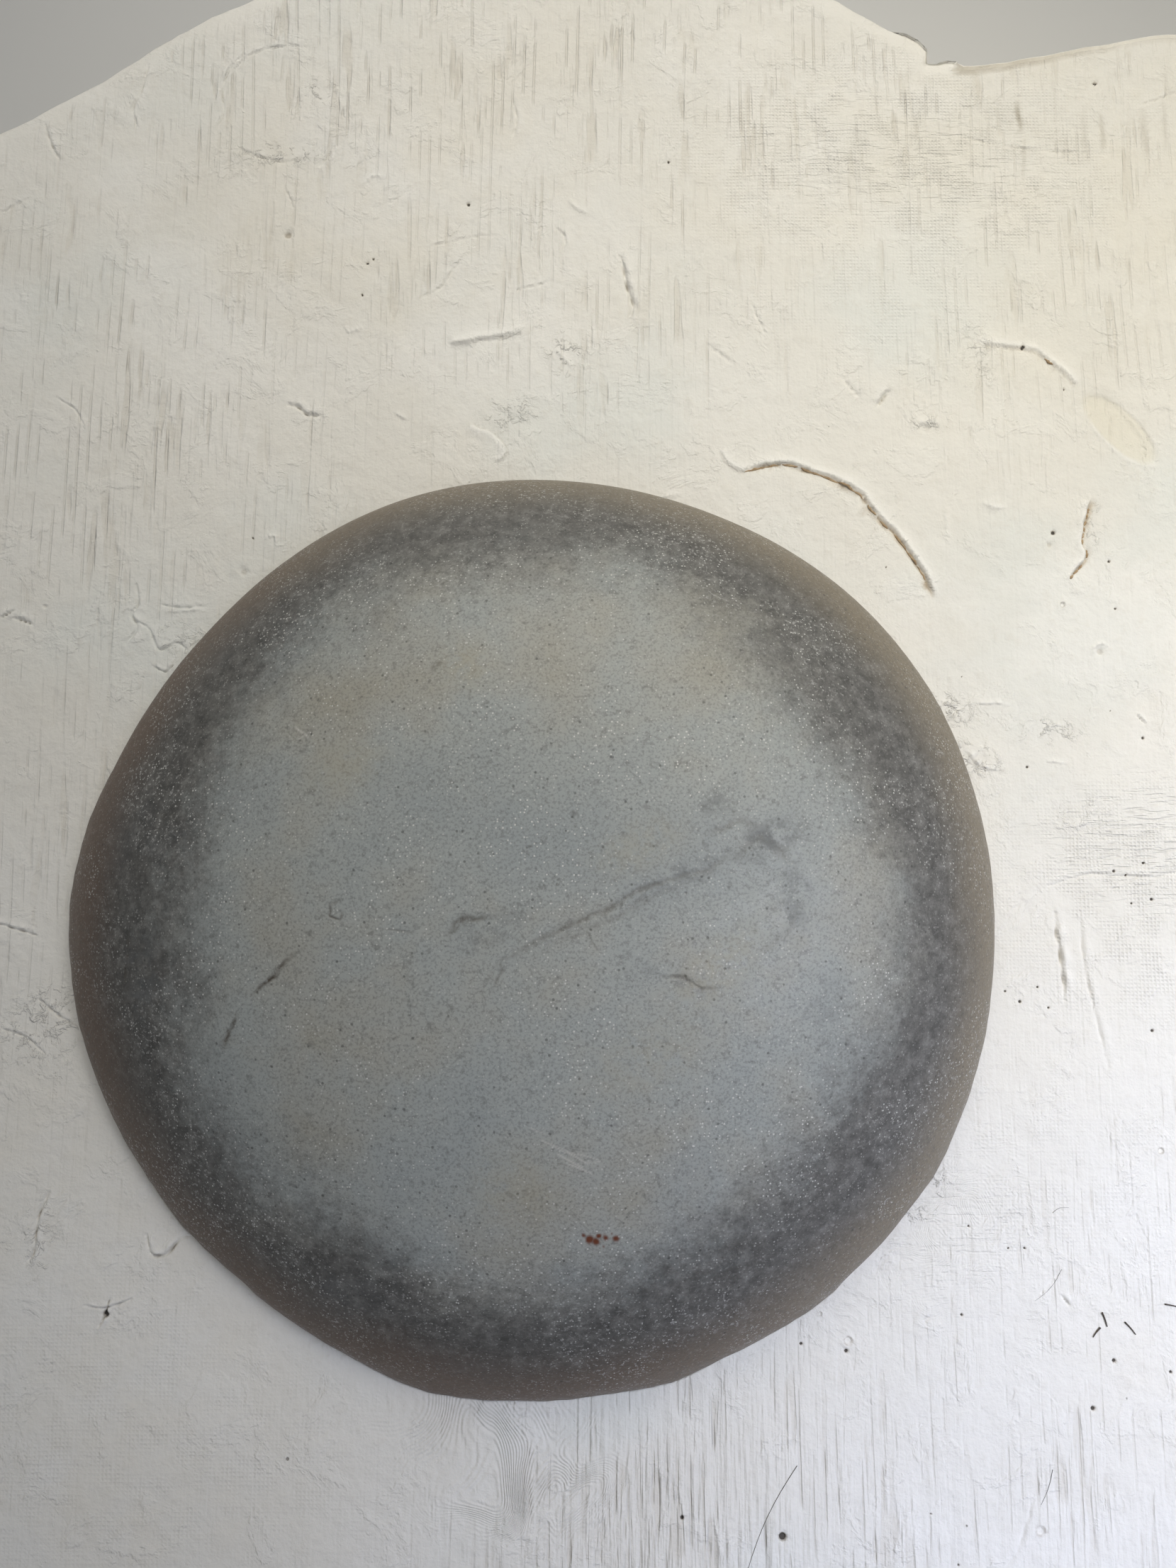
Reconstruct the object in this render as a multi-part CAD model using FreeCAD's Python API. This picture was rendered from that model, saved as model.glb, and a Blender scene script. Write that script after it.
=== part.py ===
import FreeCAD
import Part
import math
import os

# One half of a hand-built plaster mould, lying face up, with the river stone that it was formed on
# still seated in it up to the stone's widest line. The stone lifts straight out.
#
# The plaster was laid up by hand, without boards round it, so its edge wanders in shallow lobes. It is
# two coats: a fine face coat, which carries the flat parting face and the hollow that fits the stone,
# and a thick backing, smoothed off level so that the mould stands. A layer of hessian lies between
# them and stops short of the edge. Slivers of the clay bed are stuck in the seams of the face, flush
# with it.
#
# Millimetres, +Z up. The origin is the middle of the underside. Plan positions below are measured
# from the middle of the stone, with +Y towards the mould's broad end.

# ---- heights ----
FACE_HEIGHT = 75.0  # parting face above the underside
FACE_COAT = 13.0  # thickness of the face coat, on the flat and round the hollow
HESSIAN = 1.2  # thickness of the soaked hessian
HESSIAN_MARGIN = 12.0  # how far the hessian stops short of the plaster's side

# ---- the stone ----
STONE_RADIUS = 113.0  # mean plan radius of the widest line
STONE_RISE = 45.0  # above the parting face
STONE_SINK = 43.0  # below it
STONE_LUMPS = (  # waves round the widest line: number of crests, height, direction of a crest
    (2, 0.75, 8.0),
    (3, 0.65, 59.0),
    (4, 0.55, 9.0),
    (5, 0.75, -33.0),
)
STONE_LEAN = (4.0, 5.0)  # where the crown stands, from the middle of the widest line
STONE_FULLNESS = 2.6  # how full the stone's upright section is: 2 is an ellipse, more is fuller
STONE_RIM = 1.5  # how round its rim is: 2 is an ellipse, less is tighter
STONE_LEVELS = (0.07, 0.18, 0.34, 0.52, 0.70, 0.84, 0.94, 0.99)  # sections, as shares of the height
STONE_SPOKES = 24  # points on each section
STONE_PLAY = 0.3  # gap between the stone and its hollow

# ---- the plaster's edge, in plan, anticlockwise from the right ----
EDGE = (
    (200.0, 15.0),
    (204.0, 75.0),
    (208.0, 130.0),
    (206.0, 190.0),
    (197.0, 230.0),
    (181.0, 243.0),
    (163.0, 242.1),
    (143.0, 238.1),
    (123.5, 234.4),
    (111.5, 233.6),
    (106.0, 234.6),
    (104.6, 238.4),
    (98.5, 242.3),
    (83.1, 251.2),
    (56.0, 262.0),
    (20.0, 268.5),
    (-20.0, 268.5),
    (-56.0, 262.0),
    (-86.2, 250.8),
    (-100.5, 242.6),
    (-119.2, 229.5),
    (-137.9, 218.2),
    (-158.0, 206.0),
    (-174.0, 184.0),
    (-181.0, 140.0),
    (-175.0, 85.0),
    (-172.0, 30.0),
    (-179.0, -30.0),
    (-183.0, -85.0),
    (-174.0, -140.0),
    (-148.0, -178.0),
    (-105.0, -192.0),
    (-50.0, -188.0),
    (5.0, -187.0),
    (60.0, -194.0),
    (115.0, -196.0),
    (160.0, -182.0),
    (189.0, -148.0),
    (200.0, -95.0),
    (197.0, -35.0),
)

# ---- the plaster's side: height, and how far in from the edge ----
BACKING_SIDE = ((0.0, 30.0), (3.0, 22.0), (11.0, 13.5), (26.0, 7.0), (44.0, 3.5), (62.0, 2.0))
COAT_SIDE = ((62.0, 2.0), (72.5, 0.0), (75.0, 1.5))

# ---- a low step along the edge, to the right of the nick between two lobes ----
STEP_WIDTH = 3.6
STEP_DROP = 2.5
STEP_START = 112.4  # along X
STEP_FLOOR = 205.0  # along Y, short of the step's run

# ---- clay left in the seams of the face: first end, a point midway, second end, width, depth ----
CLAY = (
    ((55.0, 115.3), (66.0, 117.6), (76.0, 113.8), 0.7, 0.5),
    ((80.7, 111.2), (84.4, 108.4), (88.2, 103.2), 1.1, 0.8),
    ((88.6, 102.6), (94.0, 96.2), (99.0, 89.6), 0.9, 0.5),
    ((99.4, 88.8), (101.6, 85.0), (102.4, 80.4), 1.6, 0.6),
    ((143.0, 108.2), (141.2, 103.4), (140.2, 98.2), 0.9, 0.5),
)


def closed_wire(points, height):
    """A smooth closed outline through plan points, at one height."""
    curve = Part.BSplineCurve()
    corners = [FreeCAD.Vector(x, y, height) for x, y in points]
    curve.interpolate(Points=corners, PeriodicFlag=True)
    return Part.Wire([curve.toShape()])


def plaster_outline(inset):
    """The plaster's edge, moved in towards the stone by inset."""
    shrunk = []
    for x, y in EDGE:
        keep = 1.0 - inset / math.hypot(x, y)
        shrunk.append((x * keep, y * keep))
    return shrunk


def plaster_slab(side, inset=0.0, ruled=False):
    """A solid that follows the plaster's edge through the (height, inset) pairs of side."""
    sections = [closed_wire(plaster_outline(inset + step), height) for height, step in side]
    return Part.makeLoft(sections, True, ruled)


def stone_reach(angle):
    """Plan radius of the stone's widest line in one direction, in radians."""
    reach = STONE_RADIUS
    for count, height, crest in STONE_LUMPS:
        reach += height * math.cos(count * (angle - math.radians(crest)))
    return reach


def stone_section(share, grow):
    """The stone's outline at a share of its height: -1 is its foot, 0 its widest line, 1 its crown."""
    level = abs(share)
    scale = (1.0 - level**STONE_RIM) ** (1.0 / STONE_FULLNESS)
    half_height = (STONE_RISE if share > 0 else STONE_SINK) + grow
    points = []
    for spoke in range(STONE_SPOKES):
        angle = 2.0 * math.pi * spoke / STONE_SPOKES
        radius = (stone_reach(angle) + grow) * scale
        x = radius * math.cos(angle) + STONE_LEAN[0] * share
        y = radius * math.sin(angle) + STONE_LEAN[1] * share
        points.append((x, y))
    return closed_wire(points, FACE_HEIGHT + half_height * share)


def stone_form(grow):
    """The whole stone, larger all round by grow."""
    lower_half = [-level for level in reversed(STONE_LEVELS)]
    shares = lower_half + [0.0] + list(STONE_LEVELS)
    sections = [stone_section(share, grow) for share in shares]
    return Part.makeLoft(sections, True)


def box_between(low, high):
    """A plain block from its lowest corner to its highest."""
    size = [b - a for a, b in zip(low, high)]
    return Part.makeBox(size[0], size[1], size[2], FreeCAD.Vector(*low))


def below(shape, height):
    """The part of a shape that is under a height."""
    return shape.common(box_between((-400.0, -400.0, -100.0), (400.0, 400.0, height)))


def edge_step():
    """What the low step takes off the face coat: a strip that follows the edge."""
    top = FACE_HEIGHT + 5.0
    floor = FACE_HEIGHT - STEP_DROP
    outer = plaster_slab(((floor, -5.0), (top, -5.0)), ruled=True)
    inner = plaster_slab(((floor, STEP_WIDTH), (top, STEP_WIDTH)), ruled=True)
    corner = box_between((STEP_START, STEP_FLOOR, floor), (300.0, 300.0, top))
    return outer.cut(inner).common(corner)


def sliver(first, middle, last, width, depth):
    """Clay that fills a seam, flush with the face: pointed ends, a bowed body."""
    run = FreeCAD.Vector(last[0] - first[0], last[1] - first[1], 0)
    across = FreeCAD.Vector(-run.y, run.x, 0).normalize() * (width / 2.0)
    start = FreeCAD.Vector(first[0], first[1], FACE_HEIGHT)
    waist = FreeCAD.Vector(middle[0], middle[1], FACE_HEIGHT)
    end = FreeCAD.Vector(last[0], last[1], FACE_HEIGHT)
    one_side = Part.Arc(start, waist + across, end).toShape()
    other_side = Part.Arc(end, waist - across, start).toShape()
    face = Part.Face(Part.Wire([one_side, other_side]))
    return face.extrude(FreeCAD.Vector(0, 0, -depth))


def build():
    """Every piece of the mould, by name, in plan positions measured from the stone."""
    seam = FACE_HEIGHT - FACE_COAT  # the level where the coats meet
    hollow = stone_form(STONE_PLAY)
    coat_bowl = stone_form(FACE_COAT)
    hessian_bowl = stone_form(FACE_COAT + HESSIAN)

    clay = Part.makeCompound([sliver(*piece) for piece in CLAY])
    coat_slab = plaster_slab(COAT_SIDE, ruled=True)
    face_coat = coat_slab.fuse(below(coat_bowl, seam)).cut(hollow).cut(edge_step()).cut(clay)

    hessian_side = ((seam - HESSIAN, HESSIAN_MARGIN), (seam, HESSIAN_MARGIN))
    hessian_sheet = plaster_slab(hessian_side, inset=BACKING_SIDE[-1][1], ruled=True)
    hessian_scrim = hessian_sheet.fuse(below(hessian_bowl, seam - HESSIAN)).cut(coat_bowl)

    backing_coat = plaster_slab(BACKING_SIDE).cut(coat_bowl).cut(hessian_scrim)

    return {
        "face_coat": face_coat,
        "hessian_scrim": hessian_scrim,
        "backing_coat": backing_coat,
        "clay_residue": clay,
        "stone_pattern": stone_form(0.0),
    }


def report(name, shape):
    """Prints whether a piece is sound, and its size."""
    box = shape.optimalBoundingBox(False)
    sound = "valid" if shape.isValid() else "NOT VALID"
    corners = (box.XMin, box.YMin, box.ZMin), (box.XMax, box.YMax, box.ZMax)
    rounded = [[round(value, 1) for value in corner] for corner in corners]
    print(name, sound, len(shape.Solids), "solid(s)", round(shape.Volume / 1e6, 4), "litres", *rounded)


def main():
    """Centres the mould on its underside and writes one file per piece."""
    pieces = build()
    middle = pieces["face_coat"].optimalBoundingBox(False).Center
    move = FreeCAD.Vector(-middle.x, -middle.y, 0)
    os.makedirs("parts", exist_ok=True)
    for name, shape in pieces.items():
        shape.translate(move)
        shape.exportStep("parts/" + name + ".step")
        report(name, shape)
    print("stone's middle at", round(move.x, 2), round(move.y, 2))


main()
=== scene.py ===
"""Half of a hand-built plaster mould with a river stone seated in it: the looks, built on the frame.

The plaster is worked out as rings round the stone's middle, wrapped on the CAD pieces, and then
given the marks of the clay bed that it was cast on. Plan positions in the lists below are in
millimetres from the middle of the stone's widest line, with +Y towards the mould's broad end.
"""

import math

import bmesh
import bpy
import numpy as np
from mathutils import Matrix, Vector, noise
from mathutils.bvhtree import BVHTree
from mathutils.kdtree import KDTree


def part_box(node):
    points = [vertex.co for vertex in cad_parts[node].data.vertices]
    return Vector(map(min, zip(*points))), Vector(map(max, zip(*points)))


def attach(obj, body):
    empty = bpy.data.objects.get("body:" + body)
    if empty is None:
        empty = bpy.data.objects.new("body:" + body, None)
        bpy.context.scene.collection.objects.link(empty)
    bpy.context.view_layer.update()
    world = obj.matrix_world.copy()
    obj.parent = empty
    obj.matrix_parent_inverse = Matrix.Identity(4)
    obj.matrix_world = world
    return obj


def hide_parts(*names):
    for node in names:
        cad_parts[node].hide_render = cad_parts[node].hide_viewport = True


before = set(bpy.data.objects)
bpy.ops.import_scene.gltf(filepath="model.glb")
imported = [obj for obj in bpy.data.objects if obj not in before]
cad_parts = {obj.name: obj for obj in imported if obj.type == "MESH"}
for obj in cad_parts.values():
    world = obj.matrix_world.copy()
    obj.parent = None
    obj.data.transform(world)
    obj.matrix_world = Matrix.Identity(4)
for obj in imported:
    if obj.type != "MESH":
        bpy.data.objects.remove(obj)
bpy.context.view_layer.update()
noise.seed_set(1)  # or else the marks' wander would change from run to run

MM = 0.001
TURN = 2.0 * math.pi
DOWN = Vector((0, 0, -1))

# ---- how finely things are divided ----
FACE_SPOKES = 640
FACE_RINGS = 44
HOLLOW_RINGS = 22
STONE_SPOKES = 480
STONE_RINGS = 104
BACKING_SPOKES = 360
OUTLINE_WAVES = 8  # waves kept of the stone's outline, which smooths the CAD facets away

# ---- the stone's upright section, as in the CAD model ----
STONE_FULLNESS = 2.6
STONE_RIM = 1.5
STONE_LEAN = (4.0 * MM, 5.0 * MM)
STONE_CAP = 0.99  # the CAD stone is cut flat at this share of its height
STONE_PLAY = 0.15 * MM

# ---- marks on the parting face, in plan, in mm ----
# seams between slabs of clay: raised on one side, sunk on the other. Points, height, groove, clay left
FINS = (
    (((52, 115.8), (63.7, 118.2), (73.8, 114.9), (81.8, 111.6), (87.9, 104.3), (95.6, 94.8),
      (100.4, 86.5), (102.2, 80.6)), 1.15, 0.55, 1),
    (((114.6, 152.1), (127.7, 150.1), (131.5, 149), (137.5, 144.5), (142.4, 139.2)), 0.7, 0.3, 0.15),
    (((135.9, 87), (140.7, 92.7), (140.1, 97.5), (142.9, 108.4)), 0.75, 0.6, 0.8),
    (((-24.9, 151.5), (-14, 153), (-4.2, 154.5)), 0.95, 0.1, 0),
    (((-11.5, 117.5), (-9, 120.6), (-10.6, 124.3), (-15.8, 127), (-18.5, 128.5)), 0.7, 0.1, 0),
    (((47, 121.5), (49.5, 117.5), (54, 115.6)), 0.6, 0.1, 0),
)
# fine cracks and cuts: points, width, depth
CUTS = (
    (((21.5, 175.4), (22.4, 170.4), (23.3, 166.2), (24.7, 162.5), (24.2, 159)), 1, 0.85),
    (((-66.3, 133.8), (-63.3, 133.3), (-61, 131.4), (-57.6, 130.9)), 0.8, 0.6),
    (((-84.8, 230.5), (-80.9, 234.9), (-75.1, 237.5), (-66.8, 238.3)), 0.5, 0.35),
    (((-55.7, 209), (-57.5, 205.7), (-60.2, 202.6)), 0.5, 0.5),
    (((-82.2, 207.7), (-76.3, 205.2), (-69.2, 203.6), (-65.7, 205.2)), 0.6, 0.35),
    (((-7.9, 221.4), (-6.9, 216.7), (-7.8, 210.8)), 0.8, 0.35),
    (((3.6, 184.4), (6.4, 181.9), (6, 177.9)), 0.6, 0.3),
    (((-31.2, 178.1), (-21.9, 180.9), (-11.5, 182.4)), 0.4, 0.25),
    (((56, 162.5), (57.6, 158.1), (59.8, 153.9)), 0.6, 0.3),
    (((88.7, 133.8), (90.2, 136.2), (91.8, 137.7)), 1.1, 0.8),
    (((-145.6, 188.7), (-141.6, 191.2), (-138.4, 193)), 0.5, 0.35),
    (((-138.1, 76.6), (-134.9, 78.4)), 0.6, 0.5),
    (((-97.9, 63.9), (-95.2, 62.3), (-93.1, 63.9), (-92.5, 65.7)), 0.5, 0.5),
    (((-122, -20), (-117, -24), (-113.5, -25.5)), 0.7, 0.4),
    (((-131, -27), (-125, -29), (-120, -33)), 0.6, 0.35),
    (((-88.6, 212.5), (-86.9, 218), (-87.2, 225), (-86, 231), (-81.8, 235.5)), 0.5, 0.5),
    (((-108, 232.7), (-109.2, 226), (-111.4, 219), (-110.1, 213.7)), 0.6, 0.5),
    (((-135.2, 214.5), (-134, 210.5), (-132.2, 207), (-130.6, 204)), 0.8, 0.5),
    (((-32, 163.9), (-26, 168), (-21.3, 175.3)), 0.6, 0.3),
    (((-127.3, 136), (-122.6, 133), (-119.5, 128.7)), 0.5, 0.3),
    (((-103.5, 85), (-103, 80), (-104.5, 77.1), (-103.1, 73.7), (-105.5, 69.6)), 0.8, 0.45),
    (((-103, 75), (-99.8, 73), (-97.2, 68.3), (-92.4, 69.6), (-89, 67.2)), 0.8, 0.35),
    (((-96.8, 79.8), (-91, 79), (-85.5, 79.5)), 0.7, 0.3),
    (((-134.5, 76.4), (-130.3, 74.6)), 0.9, 0.6),
    (((-134.5, -1.5), (-128.5, -3), (-123.9, -4.3)), 0.6, 0.5),
    (((-93, -75.5), (-91.5, -79.5), (-88, -80), (-84.5, -76.5), (-81, -76)), 0.7, 0.75),
    (((-117, -65.5), (-119, -71), (-119.7, -79.1), (-121.5, -82)), 0.8, 0.6),
    (((-107, -91.6), (-101.6, -91.9), (-95.5, -89.6)), 0.4, 0.5),
    (((-100.9, -90), (-101.6, -92.6), (-102.9, -96.3)), 0.5, 0.8),
    (((-45, 190), (-37.5, 193.5), (-33.5, 200.5)), 0.8, 0.15),
    (((-69.5, 197), (-67, 190)), 0.7, 0.25),
    (((44, 150.5), (51, 146)), 0.9, 0.3),
    (((79.5, 141.5), (84.5, 136)), 0.9, 0.35),
    (((111.5, 211.3), (131.8, 207), (154.5, 205.6)), 0.45, 0.3),
    (((163.3, 220.4), (172.7, 223.3)), 0.5, 0.3),
    (((-7, 166), (3, 169)), 0.5, 0.25),
    (((151.9, 51.4), (153.8, 49)), 0.5, 0.5),
    (((125.3, -89.2), (126.7, -91.5)), 0.7, 0.5),
    (((125.4, -83.5), (122.6, -86.3), (118.9, -90)), 0.4, 0.25),
    (((92.5, -95), (93.6, -94)), 0.9, 0.3),
    (((117.2, -131), (112, -144.4), (107, -150)), 0.9, 0.2),
    (((128.2, 1), (128.6, -6), (129.2, -14), (129.4, -20)), 1, 0.7),
    (((134.5, 1), (134.8, -12), (137.6, -28), (139, -36)), 1, 0.3),
    (((127, 8), (138, 10.5), (152, 10), (166, 12)), 0.8, 0.3),
    (((-58, 46), (-63, 43), (-66.5, 46.5)), 0.5, 0.2),
)
# raised crumbs and ridges: points, width, height
RIDGES = (
    (((99.1, 128.4), (100.7, 129.3), (104.5, 129.1)), 0.8, 0.7),
    (((115.7, 107), (118, 105.9), (121.1, 106.1)), 0.8, 0.7),
    (((105.7, 105.9), (105.3, 101.2), (106.1, 95.6)), 0.7, 0.3),
    (((109.9, 53.8), (114.6, 54.3), (119.8, 53.5)), 0.6, 0.5),
    (((101.8, 54.8), (105, 53.2), (107.6, 49.5)), 0.5, 0.5),
    (((107, 42), (109, 41.2), (111.2, 38.3), (115.4, 36.9)), 0.9, 0.8),
    (((127.9, 47.4), (130.5, 48.5), (133.3, 48.3)), 0.5, 0.35),
    (((128.3, 39.3), (130.5, 39), (133.6, 38.5)), 0.6, 0.4),
    (((134, 22.6), (137, 23.2)), 1.2, 0.5),
    (((141.7, 67), (142.1, 68.8), (143.8, 69.6), (145.5, 68.7)), 0.5, 0.5),
    (((143.8, 134.5), (145.2, 128), (148.5, 123), (154.2, 118.3), (162.7, 117.4)), 0.8, 0.35),
    (((149.8, 135.4), (155.5, 129), (160, 121.5)), 0.6, 0.25),
    (((-47.9, 197.3), (-46.1, 199.1), (-42.4, 199.3)), 0.6, 0.6),
    (((-51.8, 155.9), (-50.3, 154.4), (-47, 155.4)), 0.6, 0.5),
    (((-38, 131.6), (-34.6, 129.8)), 0.6, 0.5),
    (((7.1, 192), (9.4, 189.9), (12.7, 188.4)), 0.6, 0.5),
    (((3.8, 149), (5.6, 147.3), (8.3, 144.2)), 0.7, 0.5),
    (((-96, 78), (-90.4, 78.4), (-85.3, 78.2)), 0.7, 0.35),
    (((-70.6, 97.3), (-68.2, 97.9), (-68.1, 95)), 0.5, 0.5),
    (((31.8, 108.6), (36.3, 109.2)), 0.6, 0.5),
    (((111.9, 233.2), (112, 228.6)), 0.7, 0.35),
)
# round air rings: a shallow dimple inside a low rim. Place, radius
RINGS = (((74, -99.4), 1.3), ((67.6, -93.4), 0.6), ((117.3, -141.1), 1.4), ((134.5, 79.9), 0.8),
         ((150.8, -56), 0.9))
# small air holes, painted dark inside as shade: place, radius
HOLES = (((57.6, -142.5), 0.95), ((136.6, -103.9), 0.5), ((131, -114.5), 0.55), ((73.5, -101.7), 0.5),
         ((133.2, 99.2), 0.6), ((147.2, 91.5), 0.4), ((148, 78.9), 0.35), ((153, 45.2), 0.4),
         ((123.2, 37.7), 0.35), ((89.5, 89.9), 0.2), ((107.8, 61), 0.2), ((145.2, 52.2), 0.2),
         ((103.6, -73.4), 0.3), ((112.9, -78.5), 0.3), ((116.8, -78.5), 0.3), ((101.1, -93.6), 0.35),
         ((62.9, -100.1), 0.4), ((92.1, -137.5), 0.25), ((149.9, -106.5), 0.4), ((98, -148.4), 0.3),
         ((127.7, 150.1), 0.55), ((137.9, 138.3), 0.3), ((-101.4, -93.3), 0.8), ((-46.3, 173.9), 0.4),
         ((-44.8, 175.1), 0.35), ((-47.5, 164.9), 0.35), ((-19.6, 191.1), 0.5), ((151.2, 226.7), 0.55),
         ((34.4, 203.3), 0.4), ((34.4, -138.3), 0.5), ((-42.5, 95.5), 0.35), ((-74, 97.5), 0.3),
         ((115, -18), 0.3), ((118.5, -20.5), 0.4), ((123, -17), 0.3), ((125.5, -22), 0.3),
         ((143.5, 11.5), 0.4), ((146.5, 10.5), 0.3), ((151, 13.5), 0.35), ((152.5, 4.5), 0.4),
         ((147.5, 3.5), 0.3), ((150.5, -27.5), 0.4), ((99.6, -10.2), 0.3))
# dimples: place, radius, depth
PITS = (
    ((-68, 182.4), 1.1, 0.85),
    ((-40.4, 101), 0.5, 0.6),
    ((-76, 88.5), 1.1, 0.45),
    ((-127, 79.5), 0.5, 0.4),
    ((132, 96), 0.8, 0.5),
    ((143.5, 67.6), 1, 0.5),
    ((158, 214), 0.5, 0.5),
    ((101.5, 127.6), 1.5, 0.35),
    ((111, 39.5), 2.2, 0.3),
)
# soft bulges and hollows: place, half length, half width, turn in degrees, height
SWELLS = (
    ((153.5, 126.5), 13.5, 4.6, -46, -0.55),
    ((-6, 121.5), 7, 4.5, 40, 0.5),
    ((25, 124), 16, 6, 0, 0.35),
    ((96, 131), 26, 12, 12, -0.3),
    ((116, 118), 9, 7, 0, 0.3),
    ((112, 41), 6, 2.5, -25, 0.45),
    ((-76.5, 79), 7, 5, 20, 0.4),
    ((-62, 197), 18, 12, 10, -0.25),
    ((-112, -66), 16, 12, 60, -0.35),
    ((140, 30), 20, 12, 0, 0.25),
    ((90, -110), 24, 12, 35, -0.25),
)
# where each print and stain of the clay bed shows: place, half length, half width, turn, strength
WEAVE = (
    ((100, 203), 60, 32, 0, 1),
    ((150, 5), 34, 30, 0, 0.9),
    ((-95, -120), 62, 42, -15, 0.35),
    ((95, 165), 40, 22, 0, 0.5),
    ((125, -60), 34, 30, 0, 0.35),
)
THREADS = (
    ((152, 18), 22, 17, 0, 1),
    ((100, 205), 46, 18, -4, 0.7),
    ((100, -72), 18, 22, -20, 0.45),
)
STREAKS = (
    ((0, 238), 190, 48, 0, 0.8),
    ((40, -150), 52, 48, 0, 1),
    ((-115, 130), 60, 75, 0, 0.7),
    ((0, 165), 75, 40, 0, 0.55),
    ((135, 180), 50, 60, 0, 0.6),
    ((130, -120), 50, 70, 0, 0.5),
    ((-128, 20), 26, 70, 0, 0.5),
)
FLUTES = (
    ((38, -155), 34, 46, 0, 1),
    ((105, -150), 40, 30, 0, 0.3),
    ((-20, 245), 120, 22, 0, 0.35),
)
CRUMBS = (
    ((-60.4, 224.5), 4.5, 4, 0, 1),
    ((-71, 206), 13, 3.5, 0, 0.8),
    ((-8, 131), 7, 3.5, 20, 0.9),
    ((6.6, 148), 5, 6, 0, 0.9),
    ((-90, 70), 9, 5, -20, 0.6),
    ((103, 53), 8, 4, -20, 1),
    ((110, 40), 7, 4, -20, 1),
    ((116, 148), 5, 9, 10, 0.6),
    ((101.8, 129.2), 6, 2.5, 0, 0.8),
    ((143.5, 102), 4, 7, 0, 0.6),
    ((-120, -26), 12, 9, 30, 0.8),
    ((93, -66), 5, 9, -35, 0.9),
    ((130, 47), 9, 3.5, 0, 0.8),
    ((137, 25), 9, 5, 0, 0.5),
    ((-118, -76), 4, 10, 0, 0.6),
)
RIPPLES = (
    ((-8, -124), 26, 16, -25, 1),
    ((104, -72), 12, 26, -38, 0.35),
)
WARM = (
    ((-30, 190), 70, 60, 20, 0.8),
    ((60, 215), 110, 45, 0, 0.6),
    ((120, 140), 30, 20, 0, 0.5),
    ((140, -110), 26, 20, 0, 0.6),
    ((130, 20), 40, 60, 0, 0.3),
    ((-110, -110), 60, 80, 0, 0.9),
    ((150, 205), 60, 55, 0, 0.55),
)
SMEAR = ((152, 127.5), 12.5, 5, -47, 1)  # a thumb's smear of slip
# the edge round its sharp nick
NICK = ((99.1, 242.7), (103.4, 240.1), (105.9, 237.3), (105.6, 233.4), (108.4, 233.1), (111.1, 233.9),
        (115.5, 233.4))
# soft grey wipes down the face: points, width, strength
WIPES = (
    (((163.6, 218.5), (163.4, 212), (163.8, 204.6)), 1.5, 0.8),
    (((152.1, 218), (152.3, 212), (151.8, 206.5)), 1.2, 0.7),
    (((169.7, 222.8), (169.1, 205.6)), 1, 0.5),
    (((147.5, 218.9), (147.2, 204.6)), 1.3, 0.4),
    (((101.6, 216.1), (101.8, 210.3)), 0.8, 0.6),
    (((129.5, 220.6), (130.2, 212)), 1.2, 1.5),
    (((131, 211), (130.1, 198)), 1, 0.5),
)
# stray bristles lying on the face: one end, other end, bow to the side, half thickness
BRISTLES = (
    ((134.3, -93), (135.3, -96.2), 0.1, 0.22),
    ((133.7, -96.4), (131.8, -98.6), -0.1, 0.21),
    ((139.6, -95.2), (142, -98), 0.1, 0.21),
    ((149.4, -91.2), (154.5, -92.6), 0.2, 0.2),
    ((61.3, -127), (49, -150.5), -1.2, 0.07),
    ((120.7, -127.8), (117.6, -135.4), 0.4, 0.06),
    ((123.9, -70.4), (127.9, -69.2), 0.6, 0.05),
    ((125.4, -83.3), (118.7, -90.4), 0.7, 0.04),
)
# ---- marks on the stone, in plan, in mm: points, width, strength ----
VEINS = (
    (((-7.5, -13.5), (-5.5, -10.3), (4.4, -5.2), (14.1, -0.7), (25, 5), (38.4, 9.1), (46, 14.5)), 1.3,
     0.65),
    (((1, -9.5), (8, -5.5), (16, -2.5), (24, 2), (33, 5.5)), 1.6, 0.35),
    (((-8, -17), (-5, -12.5), (-6, -9.5)), 0.8, 0.5),
    (((-16.9, -5.2), (-15.5, -3), (-13, -1.5), (-8.3, -1.5)), 1.1, 1),
    (((-31, -4), (-24, -4.5)), 0.6, 0.5),
    (((27.6, -13.6), (33, -14), (36.5, -16.8), (39.9, -16.1)), 0.9, 0.9),
    (((6, -6.5), (12.5, -5), (15, -9)), 0.6, 0.45),
    (((-59.7, -17.9), (-55, -13.5), (-51, -9.6)), 0.9, 1.3),
    (((-64, -22.3), (-64.6, -25), (-66.8, -29)), 1.1, 1.5),
    (((-91.7, -4.4), (-92.4, -11), (-91.9, -17.6)), 0.6, 0.8),
    (((-40, 2.2), (-42.6, 1.4), (-42.4, -0.8), (-40.4, -1.6), (-39, 0.2)), 0.6, 0.9),
    (((-22.5, 53), (-20, 55.5)), 1, 0.8),
    (((44, 12), (50, 16.5), (55, 12), (57, 16)), 2.2, 0.6),
    (((38, 16), (45, 20), (50, 18)), 1.6, 0.45),
    (((48, -10), (56, -4), (60, 4)), 1.4, 0.3),
)
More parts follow.
